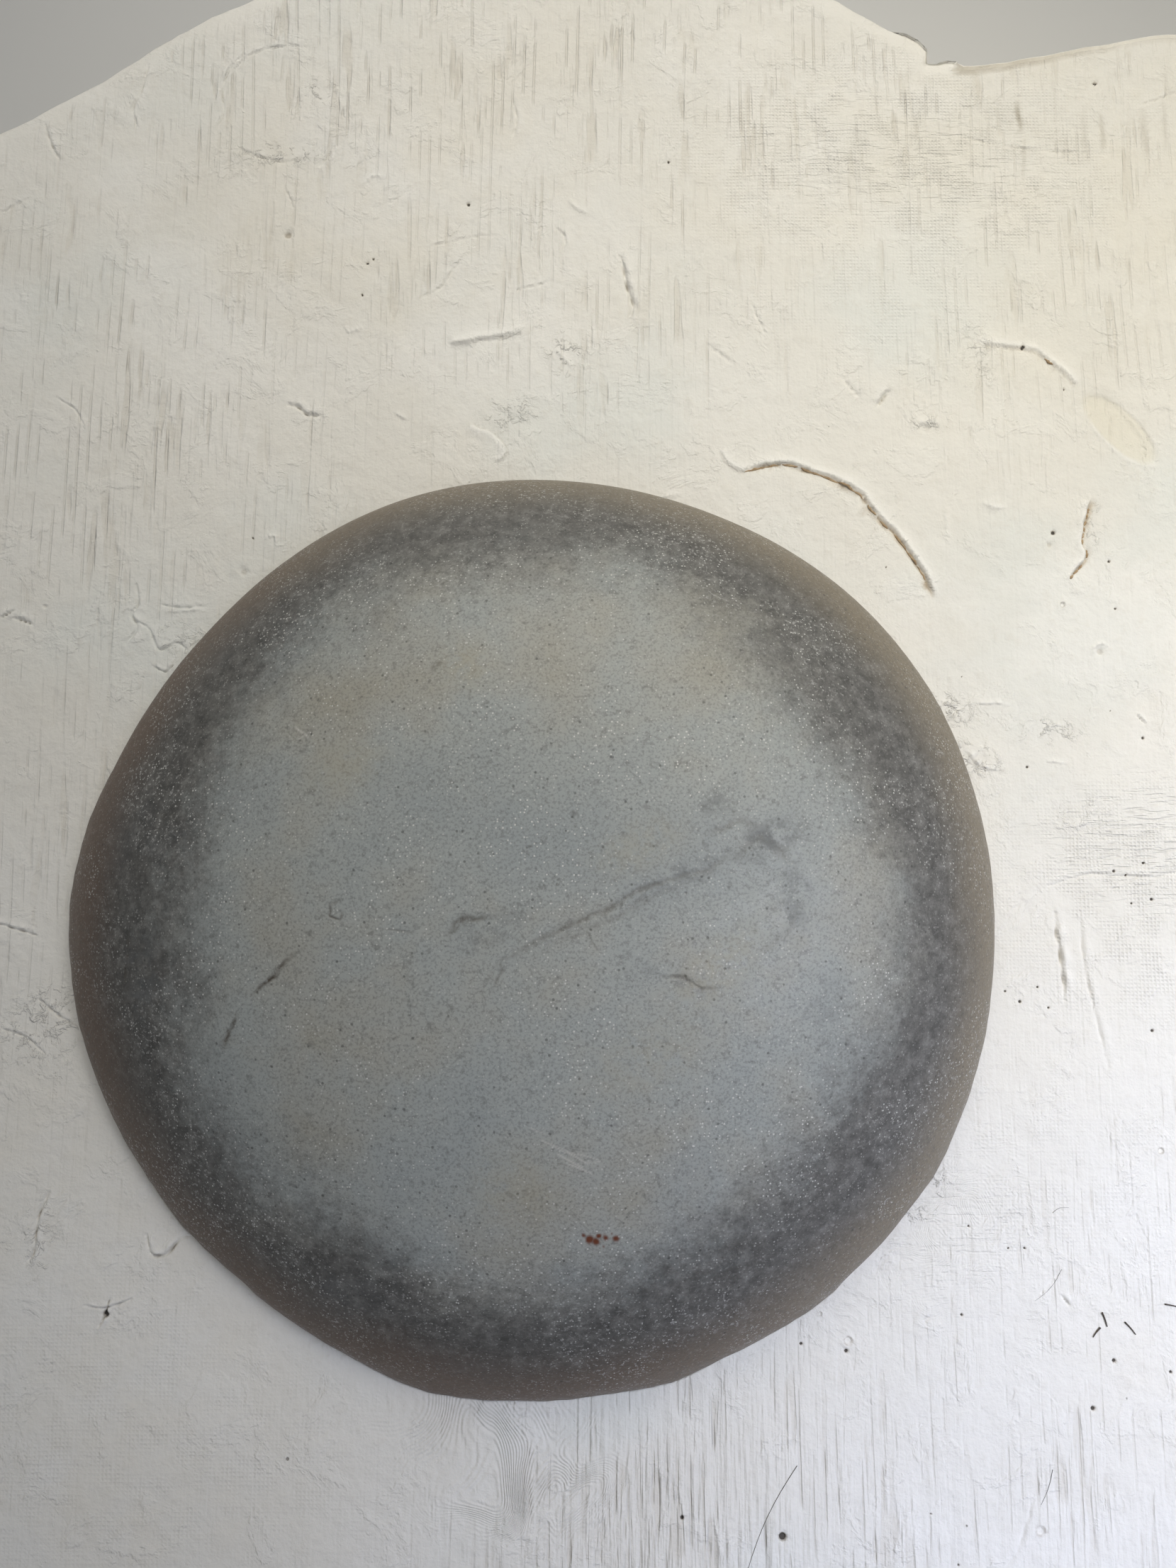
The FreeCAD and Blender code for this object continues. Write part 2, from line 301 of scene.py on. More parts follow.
# dark and ochre patches: place, half length, half width, turn, strength
SMUDGES = (
    ((51, 15.5), 8, 3.5, 25, 1),
    ((41, 24), 5, 3, 30, 0.7),
    ((57, 4), 4, 7, 0, 0.6),
    ((30, -15), 8, 2.5, -15, 0.5),
    ((36, 9), 12, 2.5, 24, 0.5),
    ((-8, -4), 9, 3, 20, 0.45),
    ((62, -22), 9, 5, 60, 0.4),
    ((-88, -15), 5, 10, 0, 0.8),
)
OCHRE = (
    ((-14.5, 54), 6, 5, 0, 1),
    ((-40, 32), 9, 6, 20, 0.8),
    ((24, 14), 10, 5, 25, 0.7),
    ((40, -12), 12, 5, 40, 0.8),
    ((-3, -58), 10, 8, 0, 0.7),
    ((26, -30), 14, 8, 30, 0.6),
)
# rust spots: place, radius
RUST = (((11.6, -68), 0.6), ((12.9, -68.9), 0.9), ((14.3, -69.4), 0.8), ((14.9, -68.2), 0.5),
        ((16.4, -68.6), 0.7), ((17.6, -67.6), 0.5), ((18.4, -68.8), 0.75), ((16, -70.6), 0.45))
# pale scratches: points, width, strength
SCRATCHES = (
    (((0.5, -45), (3.5, -46.2)), 0.3, 0.5),
    (((3, -47.6), (8, -50.2)), 0.3, 0.8),
    (((5, -48.3), (10, -50.6)), 0.25, 0.7),
    (((6.2, -50.4), (11.4, -53.4)), 0.35, 1),
    (((8.2, -50), (12.6, -52.6)), 0.3, 0.9),
    (((8.6, -52.6), (13.4, -54.6)), 0.3, 1),
    (((10.4, -50.4), (14.6, -51.6)), 0.25, 0.8),
    (((12, -52.4), (15.2, -52)), 0.3, 0.8),
    (((-52.5, 41), (-49.5, 38.6)), 0.5, 0.8),
    (((-51.5, 38.2), (-49, 39.8)), 0.35, 0.7),
    (((-70, 1.2), (-65.5, -0.8)), 0.3, 0.4),
)


# ================= reading the frame =================


def rays_for(mesh):
    """A mesh's surface, for rays."""
    corners = [vertex.co for vertex in mesh.vertices]
    return BVHTree.FromPolygons(corners, [tuple(face.vertices) for face in mesh.polygons])


def even_angles(count):
    """Angles all the way round, in even steps."""
    return np.arange(count) * TURN / count


def spoke_directions(count):
    """Unit plan directions at even angles."""
    return np.stack([np.cos(even_angles(count)), np.sin(even_angles(count))], axis=1)


def read_round(angles, values):
    """Values known at even angles all the way round, read off at other angles."""
    return np.interp(angles, even_angles(len(values)), values, period=TURN)


def reach(surface, middle, height, count):
    """How far out a piece comes at one height, at even angles round a middle."""
    radii = []
    centre = Vector((*middle, height))
    for x, y in spoke_directions(count):
        outward = Vector((x, y, 0))
        hit = surface.ray_cast(centre + outward, -outward)[0]
        radii.append((hit - centre).length)
    return np.array(radii)


def find_middle(surface, height):
    """The middle of the stone's widest line."""
    low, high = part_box("stone_pattern")
    middle = np.array([(low.x + high.x) / 2, (low.y + high.y) / 2])
    for _ in range(3):
        radii = reach(surface, middle, height, 96)
        middle = middle + (radii[:, None] * spoke_directions(96)).mean(axis=0)
    return middle


STONE_SURFACE, COAT_SURFACE, BACKING_SURFACE, SCRIM_SURFACE = (
    rays_for(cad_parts[node].data)
    for node in ("stone_pattern", "face_coat", "backing_coat", "hessian_scrim"))
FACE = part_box("face_coat")[1].z
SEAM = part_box("backing_coat")[1].z  # the level where the two coats meet
MIDDLE = find_middle(STONE_SURFACE, FACE)
STONE_LOW, STONE_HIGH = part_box("stone_pattern")
STONE_RISE = (STONE_HIGH.z - FACE) / STONE_CAP
STONE_SINK = (FACE - STONE_LOW.z) / STONE_CAP


def smooth_step(value, low, high):
    """0 below low, 1 above high, and an easy curve between."""
    share = np.clip((value - low) / (high - low), 0.0, 1.0)
    return share * share * (3.0 - 2.0 * share)


def peak(distance, power=2):
    """1 at no distance, falling softly to 0 a little past 1."""
    return np.exp(-(distance**power))


def field(points, size, seed):
    """Smooth noise from about -1 to 1 at points in metres, with lumps of that size."""
    shift = Vector((seed * 17.3, seed * 5.1, seed * 9.7))
    return np.array([noise.noise(Vector(point) / size + shift) for point in points])


# ================= the stone's form, shared with its hollow =================

OUTLINE = np.fft.rfft(reach(STONE_SURFACE, MIDDLE, FACE, 96)) / 96
# corners of the contact line: direction in degrees, and how far it lies outside the smooth outline in mm
CORNERS = ((8, -0.1), (28, -0.1), (42, 0), (57, -0.2), (66, -1.4), (84, -1), (100, -0.4), (115, -0.8),
           (130, -0.6), (148, -0.1), (157, -1.2), (168, 0.5), (179, 0.5), (190, -0.4), (206, -0.5),
           (220, 0), (234, -0.9), (246, -0.4), (257, 1.2), (268, 0), (280, -0.1), (287, 1), (293, -0.1),
           (306, 0.5), (320, -0.6), (328, 0.5), (345, -0.2), (358, -0.5))


def widest(angles):
    """The stone's smooth plan radius at its widest line, without the small facets of its contact line."""
    radii = np.full(len(angles), OUTLINE[0].real)
    for wave in range(1, OUTLINE_WAVES + 1):
        radii += 2.0 * (OUTLINE[wave] * np.exp(1j * wave * angles)).real
    return radii


def contact_line(count=1440, reach_of_blur=24, radius=113 * MM):
    """Small straight runs, rounded corners and chips of the contact line, in metres, all the way round."""
    angles = even_angles(count)
    corners, heights = np.array(CORNERS, dtype=float).T
    corners = np.radians(corners)
    heights = np.interp(angles, corners, heights * MM, period=TURN)
    corners = np.concatenate([[corners[-1] - TURN], corners, [corners[0] + TURN]])
    after = np.clip(np.searchsorted(corners, angles), 1, len(corners) - 1)
    sag = (angles - corners[after - 1]) * (corners[after] - angles) * OUTLINE[0].real / 2.0
    heights = np.pad(heights - 0.4 * sag, reach_of_blur, mode="wrap")
    blur = peak(np.arange(-reach_of_blur, reach_of_blur + 1) / 9.0)
    heights = np.convolve(heights, blur / blur.sum(), "valid")
    line = np.hstack([spoke_directions(count), np.zeros((count, 1))]) * radius
    return heights + (0.35 * field(line, 11 * MM, 5) + 0.22 * field(line, 3.5 * MM, 6)) * MM


CONTACT = contact_line()


def stone_profile(count, low, high):
    """Shares of the stone's height from low to high, at even steps along its upright section."""
    fine = np.linspace(low, high, 4001)
    scale = (1.0 - np.abs(fine) ** STONE_RIM) ** (1.0 / STONE_FULLNESS)
    radius = scale * OUTLINE[0].real
    height = np.where(fine > 0, STONE_RISE, STONE_SINK) * fine
    run = np.concatenate([[0.0], np.cumsum(np.hypot(np.diff(radius), np.diff(height)))])
    return np.interp(np.linspace(0.0, run[-1], count), run, fine)


def stone_ring(share, count, play=0.0):
    """A ring of points on the stone at a share of its height: -1 its foot, 0 widest, 1 its crown."""
    angles = even_angles(count)
    level = abs(share)
    scale = (1.0 - level**STONE_RIM) ** (1.0 / STONE_FULLNESS)
    radii = widest(angles) * scale + read_round(angles, CONTACT) * max(0.0, 1.0 - level / 0.15) + play
    directions = spoke_directions(count)
    x = MIDDLE[0] + radii * directions[:, 0] + STONE_LEAN[0] * share
    y = MIDDLE[1] + radii * directions[:, 1] + STONE_LEAN[1] * share
    z = FACE + (STONE_RISE if share > 0 else STONE_SINK) * share
    ring = np.stack([x, y, np.full(count, z)], axis=1)
    fade = smooth_step(level, 0.03, 0.3)
    if fade > 0:
        dents = 0.9 * field(ring, 70 * MM, 3) + 0.3 * field(ring, 24 * MM, 4)
        rise = np.full((count, 1), math.copysign(1.0 - scale, share))
        outward = np.hstack([directions * scale, rise])
        ring += outward * (dents * fade * MM)[:, None]
    return ring


# ================= mesh building =================


def closed_skin(name, rings, first, last):
    """A closed mesh through rings of points, with one point at each end."""
    count = len(rings[0])
    points = [tuple(first)] + [tuple(p) for ring in rings for p in ring] + [tuple(last)]
    faces = []
    for i in range(count):
        j = (i + 1) % count
        faces.append((0, 1 + j, 1 + i))
        for k in range(len(rings) - 1):
            a, b = 1 + k * count, 1 + (k + 1) * count
            faces.append((a + i, a + j, b + j, b + i))
        end = 1 + (len(rings) - 1) * count
        faces.append((end + i, end + j, len(points) - 1))
    mesh = bpy.data.meshes.new(name)
    mesh.from_pydata(points, [], faces)
    return mesh


def refine(mesh, spots=(), reaches=()):
    """Halves the edges near the spots, once for each reach, and turns every face outwards."""
    tree = KDTree(len(spots))
    for index, spot in enumerate(spots):
        tree.insert(spot, index)
    tree.balance()
    shape = bmesh.new()
    shape.from_mesh(mesh)
    for distance in reaches:
        near = [edge for edge in shape.edges
                if tree.find((edge.verts[0].co + edge.verts[1].co) / 2)[2] < distance]
        bmesh.ops.subdivide_edges(shape, edges=near, cuts=1, use_grid_fill=True)
    bmesh.ops.recalc_face_normals(shape, faces=shape.faces)
    bmesh.ops.triangulate(shape, faces=[face for face in shape.faces if len(face.verts) > 4])
    shape.to_mesh(mesh)
    shape.free()


def coordinates(mesh):
    """A mesh's points, as rows of three."""
    flat = np.zeros(len(mesh.vertices) * 3)
    mesh.vertices.foreach_get("co", flat)
    return flat.reshape(-1, 3)


def set_coordinates(mesh, points):
    """Moves a mesh's points."""
    mesh.vertices.foreach_set("co", points.ravel())
    mesh.update()


def paint(mesh, layers):
    """Stores numbers for each point by name, for a material to read."""
    for name, values in layers.items():
        layer = mesh.attributes.new(name, "FLOAT", "POINT")
        layer.data.foreach_set("value", np.asarray(values, dtype=np.float32))


def add_piece(mesh, body, slot, material, *nodes):
    """Puts a finished mesh in the scene under its own name, riding on a body."""
    for face in mesh.polygons:
        face.use_smooth = True
    piece = bpy.data.objects.new(mesh.name, mesh)
    bpy.context.scene.collection.objects.link(piece)
    mesh.materials.append(material)
    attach(piece, body)
    if nodes:
        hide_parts(*nodes)
    return piece


def plan_mm(points):
    """Plan positions of points, in mm from the stone's middle."""
    return (points[:, :2] - MIDDLE) / MM


def beside(plan, line):
    """Signed distance of plan points from a polyline (positive on its left), and the share along it."""
    line = np.array(line)
    lengths = np.hypot(*np.diff(line, axis=0).T)
    starts = np.concatenate([[0.0], np.cumsum(lengths)])
    best = np.full(len(plan), 1e9)
    side = np.zeros(len(plan))
    along = np.zeros(len(plan))
    for k, length in enumerate(lengths):
        run = (line[k + 1] - line[k]) / length
        offset = plan - line[k]
        travel = np.clip(offset @ run, 0.0, length)
        gap = offset - travel[:, None] * run
        distance = np.hypot(gap[:, 0], gap[:, 1])
        closer = distance < best
        best = np.where(closer, distance, best)
        turn = run[0] * offset[:, 1] - run[1] * offset[:, 0]
        side = np.where(closer, np.where(turn >= 0, 1.0, -1.0), side)
        along = np.where(closer, (starts[k] + travel) / starts[-1], along)
    return best * side, along


def within(plan, place, half_length, half_width, turn):
    """1 in the middle of a turned ellipse, falling softly to 0 at about twice its size."""
    c, s = math.cos(math.radians(turn)), math.sin(math.radians(turn))
    offset = plan - np.array(place)
    u = (offset[:, 0] * c + offset[:, 1] * s) / half_length
    v = (-offset[:, 0] * s + offset[:, 1] * c) / half_width
    return np.exp(-0.9 * (u * u + v * v) ** 1.5)


def smooth_line(points, steps=6):
    """A curve through plan points, as a finer polyline with a slight hand-made wander."""
    points = np.array([points[0], *points, points[-1]])
    curve = []
    for a, b, c, d in zip(points, points[1:], points[2:], points[3:]):
        for t in np.arange(steps) / steps:
            curve.append(0.5 * (2 * b + (c - a) * t + (2 * a - 5 * b + 4 * c - d) * t**2
                                + (3 * b - a - 3 * c + d) * t**3))
    curve.append(points[-1])
    wander = [noise.noise_vector(Vector((x / 4.0, y / 4.0, 1.5))) for x, y in curve]
    return tuple((x + 0.45 * w.x, y + 0.45 * w.y) for (x, y), w in zip(curve, wander))


def line_spots(lines, height, step=0.8):
    """Points every step mm along plan polylines."""
    spots = []
    for line in lines:
        for (x0, y0), (x1, y1) in zip(line, line[1:]):
            count = max(1, int(math.hypot(x1 - x0, y1 - y0) / step))
            for k in range(count + 1):
                x = MIDDLE[0] + (x0 + (x1 - x0) * k / count) * MM
                y = MIDDLE[1] + (y0 + (y1 - y0) * k / count) * MM
                spots.append(Vector((x, y, height)))
    return spots


# ================= the face coat =================

EDGE_STOPS = (8.0, 6.2, 4.8, 3.75, 3.6, 2.6, 1.7, 1.0, 0.4, 0.0)  # rings near the edge, mm in from it
STEP_WIDTH = 3.7  # of the low step along part of the edge, mm
STEP_DROP = 2.5 * MM
LIP_STOPS = (0.0, 0.25, 0.6, 1.2, 2.0)  # rings near the stone, mm out from it


def ring_at(radii, height):
    """A level ring with a radius for each spoke."""
    directions = spoke_directions(len(radii))
    x = MIDDLE[0] + radii * directions[:, 0]
    y = MIDDLE[1] + radii * directions[:, 1]
    z = np.broadcast_to(height, radii.shape)
    return np.stack([x, y, z], axis=1)


def step_spokes(edge):
    """Which spokes cross the low step, read from the CAD face."""
    found = []
    for x, y, _ in ring_at(edge - 2.4 * MM, FACE):
        hit = COAT_SURFACE.ray_cast(Vector((x, y, FACE + 0.05)), DOWN)[0]
        found.append(hit is not None and hit.z < FACE - 1.0 * MM)
    return np.array(found)


def coat_rings(edge, stepped):
    """Rings of the face coat, from the foot of the hollow up, out over the face and back underneath."""
    rings = [stone_ring(share, FACE_SPOKES, STONE_PLAY)
             for share in stone_profile(HOLLOW_RINGS, -0.999, 0.0)]
    angles = even_angles(FACE_SPOKES)
    lip = widest(angles) + read_round(angles, CONTACT) + STONE_PLAY
    inner = lip + LIP_STOPS[-1] * MM
    outer = edge - EDGE_STOPS[0] * MM
    rings += [ring_at(lip + stop * MM, FACE) for stop in LIP_STOPS[1:-1]]
    rings += [ring_at(inner + (outer - inner) * k / FACE_RINGS, FACE) for k in range(FACE_RINGS)]
    for stop in EDGE_STOPS:
        drop = np.where(stepped & (stop < STEP_WIDTH), STEP_DROP, 0.0)
        rings.append(ring_at(edge - stop * MM, FACE - drop))
    for height in (FACE - 2.7 * MM, FACE - 4.5 * MM, FACE - 7.0 * MM, FACE - 9.5 * MM, SEAM + 1.2 * MM,
                   SEAM + 0.2 * MM):
        radii = reach(COAT_SURFACE, MIDDLE, height, FACE_SPOKES)
        ring = ring_at(radii, height)
        lumps = 1.4 * field(ring, 26 * MM, 11) + 0.7 * field(ring, 8 * MM, 12)
        share = (FACE - height) / (FACE - SEAM)
        overrun = 7.0 * np.clip(field(ring, 22 * MM, 13) + 0.4 * field(ring, 6 * MM, 14), 0.0, 1.0)
        bulge = np.clip(lumps, -1.2, 2.0) * share * (1.0 - 0.5 * share) + 0.5 * share
        rings.append(ring_at(radii + bulge * MM, height - overrun * share**3 * MM))
    rings.append(ring_at(radii - 0.8 * MM, SEAM + 0.1 * MM - overrun * MM))
    for height in (SEAM - 0.3 * MM, SEAM - 12 * MM, SEAM - 24 * MM, SEAM - 34 * MM, SEAM - 40 * MM):
        rings.append(ring_at(reach(COAT_SURFACE, MIDDLE, height, FACE_SPOKES), height))
    return rings


def fin_relief(plan, line, height, groove):
    """A seam: a low bank that rises to a sharp lip on the left, and a groove on the right."""
    d, along = beside(plan, smooth_line(line))
    spots = np.column_stack([plan, np.zeros(len(plan))]) * MM
    near = np.abs(d) < 12.0
    wander = np.zeros(len(plan))
    wander[near] = field(spots[near], 4.5 * MM, 61) + 0.5 * field(spots[near], 1.8 * MM, 62)
    d = d + 0.45 * wander
    ends = smooth_step(along, 0.0, 0.1) * (1.0 - smooth_step(along, 0.93, 1.0))
    wobble = np.clip(0.75 + 0.5 * np.roll(wander, 1), 0.3, 1.2)
    bank = peak(d / np.where(d >= 0, 1.5, 0.34))
    trough = peak((d + 0.8) / (0.36 + 0.22 * along))
    return ends * (wobble * height * bank - groove * trough), ends * trough, ends * bank


def tapered(along, power, margin=0.02):
    """Full midway along a mark, fading to its ends."""
    return np.sin(np.clip(along, margin, 1.0 - margin) * math.pi) ** power


def relief(points):
    """Height to add to the face, in mm, how much clay to paint on it, how much painted shade, with some
    grime, to put in its grooves, pits, rings and holes, and how much painted highlight to put on its raised
    lips.
    """
    plan = plan_mm(points)
    height = 0.6 * field(points, 90 * MM, 21) + 0.3 * field(points, 26 * MM, 22)
    height += 0.1 * field(points, 8 * MM, 23)
    clay, dirt, lip = np.zeros((3, len(plan)))
    # seams: the lip gets a painted highlight, and the groove gets painted shade and clay
    for line, bank, groove, left in FINS:
        rise, trough, crest = fin_relief(plan, line, bank, groove)
        height += rise
        lip = np.maximum(lip, crest)
        clay = np.maximum(clay, trough * left)
        dirt = np.maximum(dirt, trough * 0.5)
    # cuts: the bank gets a painted highlight, and the groove gets painted shade with some grime
    for line, width, depth in CUTS:
        d, along = beside(plan, smooth_line(line))
        ends = tapered(along, 0.4) * (0.7 + 0.3 * np.sin(along * 23.0 + width * 9.0))
        groove = ends * peak(d / (0.42 * width))
        bank = ends * peak((d - 1.4 * width) / width)
        height += depth * (0.9 * bank - 1.9 * groove)
        lip = np.maximum(lip, bank * min(1.0, depth * 1.5))
        dirt = np.maximum(dirt, groove * min(0.85, depth * 1.5))
    # ridges: the crest gets a painted highlight
    for line, width, rise in RIDGES:
        d, along = beside(plan, smooth_line(line))
        crest = peak(d / (width * np.where(d > 0, 1.3, 0.45)))
        crest *= tapered(along, 0.5) * (0.75 + 0.25 * np.sin(along * 29.0))
        height += rise * crest
        lip = np.maximum(lip, crest * min(1.0, 1.4 * rise))
    # pits, air rings and air holes get painted shade inside
    for place, radius, depth in PITS:
        d = np.hypot(*(plan - place).T) / radius
        height += depth * (0.12 * peak(2.0 * (d - 1.6)) - peak(d, 4))
        dirt = np.maximum(dirt, peak(d, 4) * min(1.0, depth * 1.3))
    for place, radius in RINGS:
        d = np.hypot(*(plan - place).T) / radius
        height += 0.35 * peak((d - 1.0) / 0.3) - 0.3 * peak(d, 4) ** 2
        dirt = np.maximum(dirt, 0.75 * peak((d - 0.75) / 0.28))
    for place, radius in HOLES:
        d = np.hypot(*(plan - place).T) / radius
        height -= 1.1 * radius * peak(d, 4)
        dirt = np.maximum(dirt, 2.0 * peak(d, 4))
    for *patch, swell in SWELLS:
        height += swell * within(plan, *patch)
    return height, clay, dirt, lip


def zone(plan, patches):
    """How strongly one of the prints shows at each plan point."""
    strength = np.zeros(len(plan))
    for *patch, value in patches:
        strength = np.maximum(strength, value * within(plan, *patch))
    return strength


def nick_shift(angle, edge_here):
    """How far the nick moves the edge outwards, in mm, at angles round the stone's middle."""
    corners = np.array(NICK)
    directions = np.arctan2(corners[:, 1], corners[:, 0])[::-1]
    radii = np.hypot(corners[:, 0], corners[:, 1])[::-1]
    fade = smooth_step(angle, directions[0], directions[0] + 0.006)
    fade *= 1.0 - smooth_step(angle, directions[-1] - 0.006, directions[-1])
    return (np.interp(angle, directions, radii) - edge_here) * fade


def make_face_coat(material):
    """The face coat: parting face, hollow and edge."""
    raw_edge = reach(COAT_SURFACE, MIDDLE, FACE - STEP_DROP - 1e-5, FACE_SPOKES)
    edge = (np.roll(raw_edge, 1) + 2.0 * raw_edge + np.roll(raw_edge, -1)) / 4.0
    rim = ring_at(edge, FACE)
    edge += (0.6 * field(rim, 9 * MM, 51) + 0.4 * field(rim, 3.5 * MM, 52)) * MM
    stepped = step_spokes(edge)
    foot = stone_ring(-0.9999, 12, STONE_PLAY).mean(axis=0) - np.array([0.0, 0.0, STONE_PLAY])
    bottom = (foot[0], foot[1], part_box("face_coat")[0].z)
    mesh = closed_skin("face_coat_plaster", coat_rings(edge, stepped), foot, bottom)
    lines = [smooth_line(mark[0]) for mark in FINS + CUTS + RIDGES + WIPES]
    lines += [(dot[0], dot[0]) for dot in PITS + RINGS + HOLES] + [NICK]
    refine(mesh, line_spots(lines, FACE), (3.0 * MM, 1.6 * MM, 0.8 * MM))

    points = coordinates(mesh)
    plan = plan_mm(points)
    angle = np.arctan2(plan[:, 1], plan[:, 0])
    edge_here = read_round(angle, edge) / MM
    out = np.hypot(*plan.T)
    notch = nick_shift(angle, edge_here)
    pull = notch * smooth_step(out - edge_here, -5.0, -0.5)
    points[:, :2] += plan / np.maximum(out, 1.0)[:, None] * (pull * MM)[:, None]
    plan = plan_mm(points)
    out = np.hypot(*plan.T)
    inward = edge_here + notch - out
    lip_gap = out - (widest(angle) + read_round(angle, CONTACT)) / MM
    on_face = points[:, 2] > FACE - 1e-6
    on_step = ((points[:, 2] < FACE - 0.5 * MM) & (points[:, 2] > FACE - 3.0 * MM) & (inward > 0.3)
               & (lip_gap > 20.0))
    height, clay, dirt, lip = np.zeros((4, len(points)))
    height[on_face], clay[on_face], dirt[on_face], lip[on_face] = relief(points[on_face])
    roll_off = 1.3 * np.clip(1.0 - inward / 6.5, 0.0, 1.0) ** 2.2
    points[:, 2] += np.where(on_face, height * smooth_step(lip_gap, -0.5, 5.0) - roll_off, 0.0) * MM
    set_coordinates(mesh, points)

    flat = (on_face | on_step).astype(float)
    near_edge = smooth_step(inward, 1.0, 6.0) * flat
    # painted shade: a darker strip on the low step and a few mm inside it, for the shade of the step and its
    # rolled-off edge
    band = read_round(angle, stepped) * smooth_step(plan[:, 0], 111.8, 112.6)
    band *= (1.0 - smooth_step(inward, 4.6, 6.2)) * (1.0 - 0.7 * smooth_step(plan[:, 0], 125.0, 165.0))
    wipe = np.zeros(len(points))
    for line, width, strength in WIPES:
        d, along = beside(plan, smooth_line(line))
        wipe = np.maximum(wipe, strength * tapered(along, 0.5) * peak(d / (0.55 * width), 4))
    prints = {"weave": WEAVE, "threads": THREADS, "flutes": FLUTES, "crumbs": CRUMBS, "ripples": RIPPLES}
    layers = {name: zone(plan, patches) * near_edge for name, patches in prints.items()}
    layers.update(streaks=(0.15 + zone(plan, STREAKS)) * near_edge, warm=zone(plan, WARM) * flat,
                  smear=zone(plan, (SMEAR,)) * flat, band=band * flat, wipe=wipe * on_face, clay=clay,
                  dirt=dirt, lip=lip, flat=flat)
    paint(mesh, layers)
    return add_piece(mesh, "mould", "plaster_face", material, "face_coat")


# ================= the backing coat =================


def make_backing(material):
    """The thick backing: hand-smoothed sides, a scraped underside, and the bed of the hessian inside."""
    rings = []
    count = BACKING_SPOKES
    top = SEAM - 0.2 * MM
    scrim_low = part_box("hessian_scrim")[0].z
    for height in (scrim_low + 1.5 * MM, scrim_low + 6 * MM, scrim_low + 14 * MM, SEAM - 16 * MM,
                   SEAM - 1.5 * MM):
        rings.append(ring_at(reach(SCRIM_SURFACE, MIDDLE, height, count) + 0.2 * MM, height))
    side = reach(BACKING_SURFACE, MIDDLE, top, count)
    rings.append(ring_at(side - 12.2 * MM, SEAM - 1.5 * MM))
    rings.append(ring_at(side - 11.8 * MM, top))
    for height in np.concatenate([[top, top - 0.8 * MM], np.linspace(SEAM - 3 * MM, 12 * MM, 26),
                                  np.linspace(10.5 * MM, 0.4 * MM, 12)]):
        radii = reach(BACKING_SURFACE, MIDDLE, height, count)
        ring = ring_at(radii, height)
        stretched = ring * np.array([1.0, 1.0, 0.45])
        lumps = 2.6 * field(ring, 55 * MM, 31) + 1.5 * field(stretched, 17 * MM, 32)
        lumps += 0.45 * field(ring, 5 * MM, 33)
        fade = smooth_step(height, 0.0, 12 * MM) * smooth_step(SEAM - height, 2 * MM, 14 * MM)
        rings.append(ring_at(radii + lumps * fade * MM, height))
    base = reach(BACKING_SURFACE, MIDDLE, 0.3 * MM, count)
    for share in (0.995, 0.98, 0.95, 0.9, 0.8, 0.7, 0.6, 0.5, 0.4, 0.3, 0.2, 0.1, 0.04):
        rings.append(ring_at(base * share, 0.0))
    foot = (MIDDLE[0], MIDDLE[1], scrim_low - 0.2 * MM)
    mesh = closed_skin("backing_plaster", rings, foot, (MIDDLE[0], MIDDLE[1], 0.0))
    refine(mesh)
    return add_piece(mesh, "mould", "plaster_backing", material, "backing_coat")


# ================= the stone =================


def make_stone(material):
    """The river stone, with its veins, rust and scratches painted on."""
    shares = stone_profile(STONE_RINGS, -0.9995, 0.9995)
    shares[np.argmin(np.abs(shares))] = 0.0  # one ring lies exactly on the widest line
    rings = [stone_ring(share, STONE_SPOKES) for share in shares]
    mesh = closed_skin("river_stone", rings, rings[0].mean(axis=0), rings[-1].mean(axis=0))
    marks = [vein[0] for vein in VEINS] + [scratch[0] for scratch in SCRATCHES]
    marks += [(spot[0], spot[0]) for spot in RUST]
    surface = rays_for(mesh)
    spots = [surface.ray_cast(spot, DOWN)[0] for spot in line_spots(marks, STONE_HIGH.z + 0.02)]
    refine(mesh, spots, (3.0 * MM, 2.0 * MM, 1.1 * MM))
    points = coordinates(mesh)
    plan = plan_mm(points)
    vein, scratch, rust = np.zeros((3, len(points)))
    wander = 0.7 * field(points, 4 * MM, 41) + 0.3 * field(points, 1.5 * MM, 42)
    for line, width, strength in VEINS:
        d, along = beside(plan, line)
        vein = np.maximum(vein, strength * tapered(along, 0.6, 0.03) * peak((d + wander) / (0.5 * width)))
    for line, width, strength in SCRATCHES:
        scratch = np.maximum(scratch, strength * peak(beside(plan, line)[0] / (0.5 * width)))
    for place, radius in RUST:
        rust = np.maximum(rust, peak((np.hypot(*(plan - place).T) + wander) / radius, 4))
    layers = {"vein": vein, "scratch": scratch, "rust": rust, "smudge": zone(plan, SMUDGES),
              "ochre": zone(plan, OCHRE)}
    above = points[:, 2] > FACE
    paint(mesh, {name: values * above for name, values in layers.items()})
    return add_piece(mesh, "stone", "stone", material, "stone_pattern")


# ================= clay and bristles =================


def tube(points, radii, sides=6):
    """Corners and faces of a closed tube through points."""
    corners, faces = [], []
    points = [Vector(point) for point in points]
    for k, point in enumerate(points):
        ahead = points[min(k + 1, len(points) - 1)] - points[max(k - 1, 0)]
        across = ahead.cross(Vector((0, 0, 1))).normalized()
        up = across.cross(ahead).normalized()
        for side in range(sides):
            angle = TURN * side / sides
            corners.append(point + (across * math.cos(angle) + up * math.sin(angle)) * radii[k])
    for k in range(len(points) - 1):
        for side in range(sides):
            after = (side + 1) % sides
            a, b = k * sides, (k + 1) * sides
            faces.append((a + side, a + after, b + after, b + side))
    faces.append(tuple(range(sides))[::-1])
    faces.append(tuple(range(len(corners) - sides, len(corners))))
    return corners, faces


